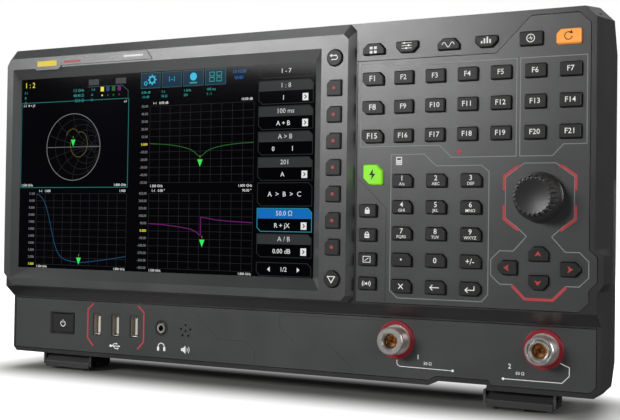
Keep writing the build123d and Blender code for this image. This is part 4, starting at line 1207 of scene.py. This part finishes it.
def floor_material():
    """Pale paper, evenly lit but for a painted soft contact shadow under the front, where its glow fades out.
    Distances in metres.
    """
    n = Nodes("floor")
    n.feed("Base Color", n.ramp(n.noise(3.0), rgb(0.30, 0.30, 0.29), rgb(0.32, 0.32, 0.31)))
    n.set(Roughness=0.9, Specular_IOR_Level=0.0, Emission_Color=(1.0, 1.0, 1.0, 1.0))
    offset = n.coords.outputs["Object"]
    for operation, amount in (
        ("SUBTRACT", PAINTED_SHADOW_MIDDLE),
        ("ABSOLUTE", None),
        ("SUBTRACT", PAINTED_SHADOW_HALF),
        ("MAXIMUM", (0.0, 0.0, 0.0)),
    ):
        step = n.add("ShaderNodeVectorMath", operation=operation)
        n.link(offset, step.inputs[0])
        if amount:
            step.inputs[1].default_value = amount
        offset = step.outputs["Vector"]
    distance = n.add("ShaderNodeVectorMath", operation="LENGTH")
    n.link(offset, distance.inputs[0])
    # Painted shadow: the floor's glow rises from none at the box to full at the fade distance.
    glow_outside_painted_shadow = n.add("ShaderNodeMapRange", interpolation_type="SMOOTHSTEP")
    glow_outside_painted_shadow.inputs["From Max"].default_value = PAINTED_SHADOW_FADE
    n.link(distance.outputs["Value"], glow_outside_painted_shadow.inputs["Value"])
    n.feed("Emission Strength", glow_outside_painted_shadow.outputs["Result"])
    return n.material


def studio():
    """A pale floor, a white surround that only the camera sees, and soft boxes, in metres and watts.

    The floor casts no shadow, so the lamp below it lights the ledges that face down.
    """
    floor_mesh = bpy.data.meshes.new("floor")
    size = 6.0
    corners = [(-size, -size, 0), (size, -size, 0), (size, size, 0), (-size, size, 0)]
    floor_mesh.from_pydata(corners, [], [(0, 1, 2, 3)])
    floor_mesh.materials.append(floor_material())
    floor = bpy.data.objects.new("floor", floor_mesh)
    bpy.context.scene.collection.objects.link(floor)
    floor.visible_diffuse = False
    floor.visible_glossy = False
    floor.visible_shadow = False
    world = bpy.data.worlds.new("studio")
    bpy.context.scene.world = world
    world.use_nodes = True
    world.cycles_visibility.diffuse = False
    world.cycles_visibility.glossy = False
    surround = world.node_tree.nodes["Background"]
    surround.inputs["Color"].default_value = (1.0, 1.0, 1.0, 1.0)
    surround.inputs["Strength"].default_value = 1.0
    lights = {
        "key": ((-0.72, -1.3, 0.6), (-0.05, 0.0, 0.13), 0.8, 0.36, 12.0),
        "card": ((1.15, -1.3, 0.45), (0.1, 0.0, 0.05), 0.5, 0.5, 2.2),
        "overhead": ((0.0, 0.95, 1.6), (0.0, 0.95, 0.0), 2.4, 1.2, 60.0),
        "below": ((-0.1, -0.5, -0.5), (0.0, 0.0, 0.1), 1.2, 0.4, 1.6),
        "right": ((1.5, 0.1, 0.5), (0.0, 0.0, 0.1), 1.0, 0.9, 14.0),
        "left": ((-1.5, -0.1, 0.6), (0.0, 0.0, 0.1), 1.0, 1.0, 5.0),
        "back": ((-0.6, 1.4, 0.6), (0.0, 0.0, 0.14), 1.0, 0.5, 10.0),
    }
    for name, (place, target, width, height, power) in lights.items():
        data = bpy.data.lights.new(name, "AREA")
        data.shape = "RECTANGLE"
        data.size = width
        data.size_y = height
        data.energy = power
        lamp = bpy.data.objects.new(name, data)
        lamp.location = place
        lamp.rotation_euler = (Vector(target) - Vector(place)).to_track_quat("-Z", "Y").to_euler()
        bpy.context.scene.collection.objects.link(lamp)


CAMERA_AT = (0.2986, -0.5982, 0.1003)
CAMERA_YAW, CAMERA_PITCH, CAMERA_ROLL = 26.0, 0.94, 0.83
LENS = 59.2


def camera():
    """The photograph's viewpoint: from the right, level with the middle of the front."""
    data = bpy.data.cameras.new("camera")
    data.lens = LENS
    data.sensor_width = 36.0
    obj = bpy.data.objects.new("camera", data)
    turn = Matrix.Rotation(math.radians(CAMERA_YAW), 4, "Z")
    tilt = Matrix.Rotation(math.radians(90 + CAMERA_PITCH), 4, "X")
    roll = Matrix.Rotation(math.radians(CAMERA_ROLL), 4, "Z")
    obj.matrix_world = Matrix.Translation(CAMERA_AT) @ turn @ tilt @ roll
    bpy.context.scene.collection.objects.link(obj)
    bpy.context.scene.camera = obj


studio()
camera()
bpy.context.scene.view_settings.view_transform = "Standard"
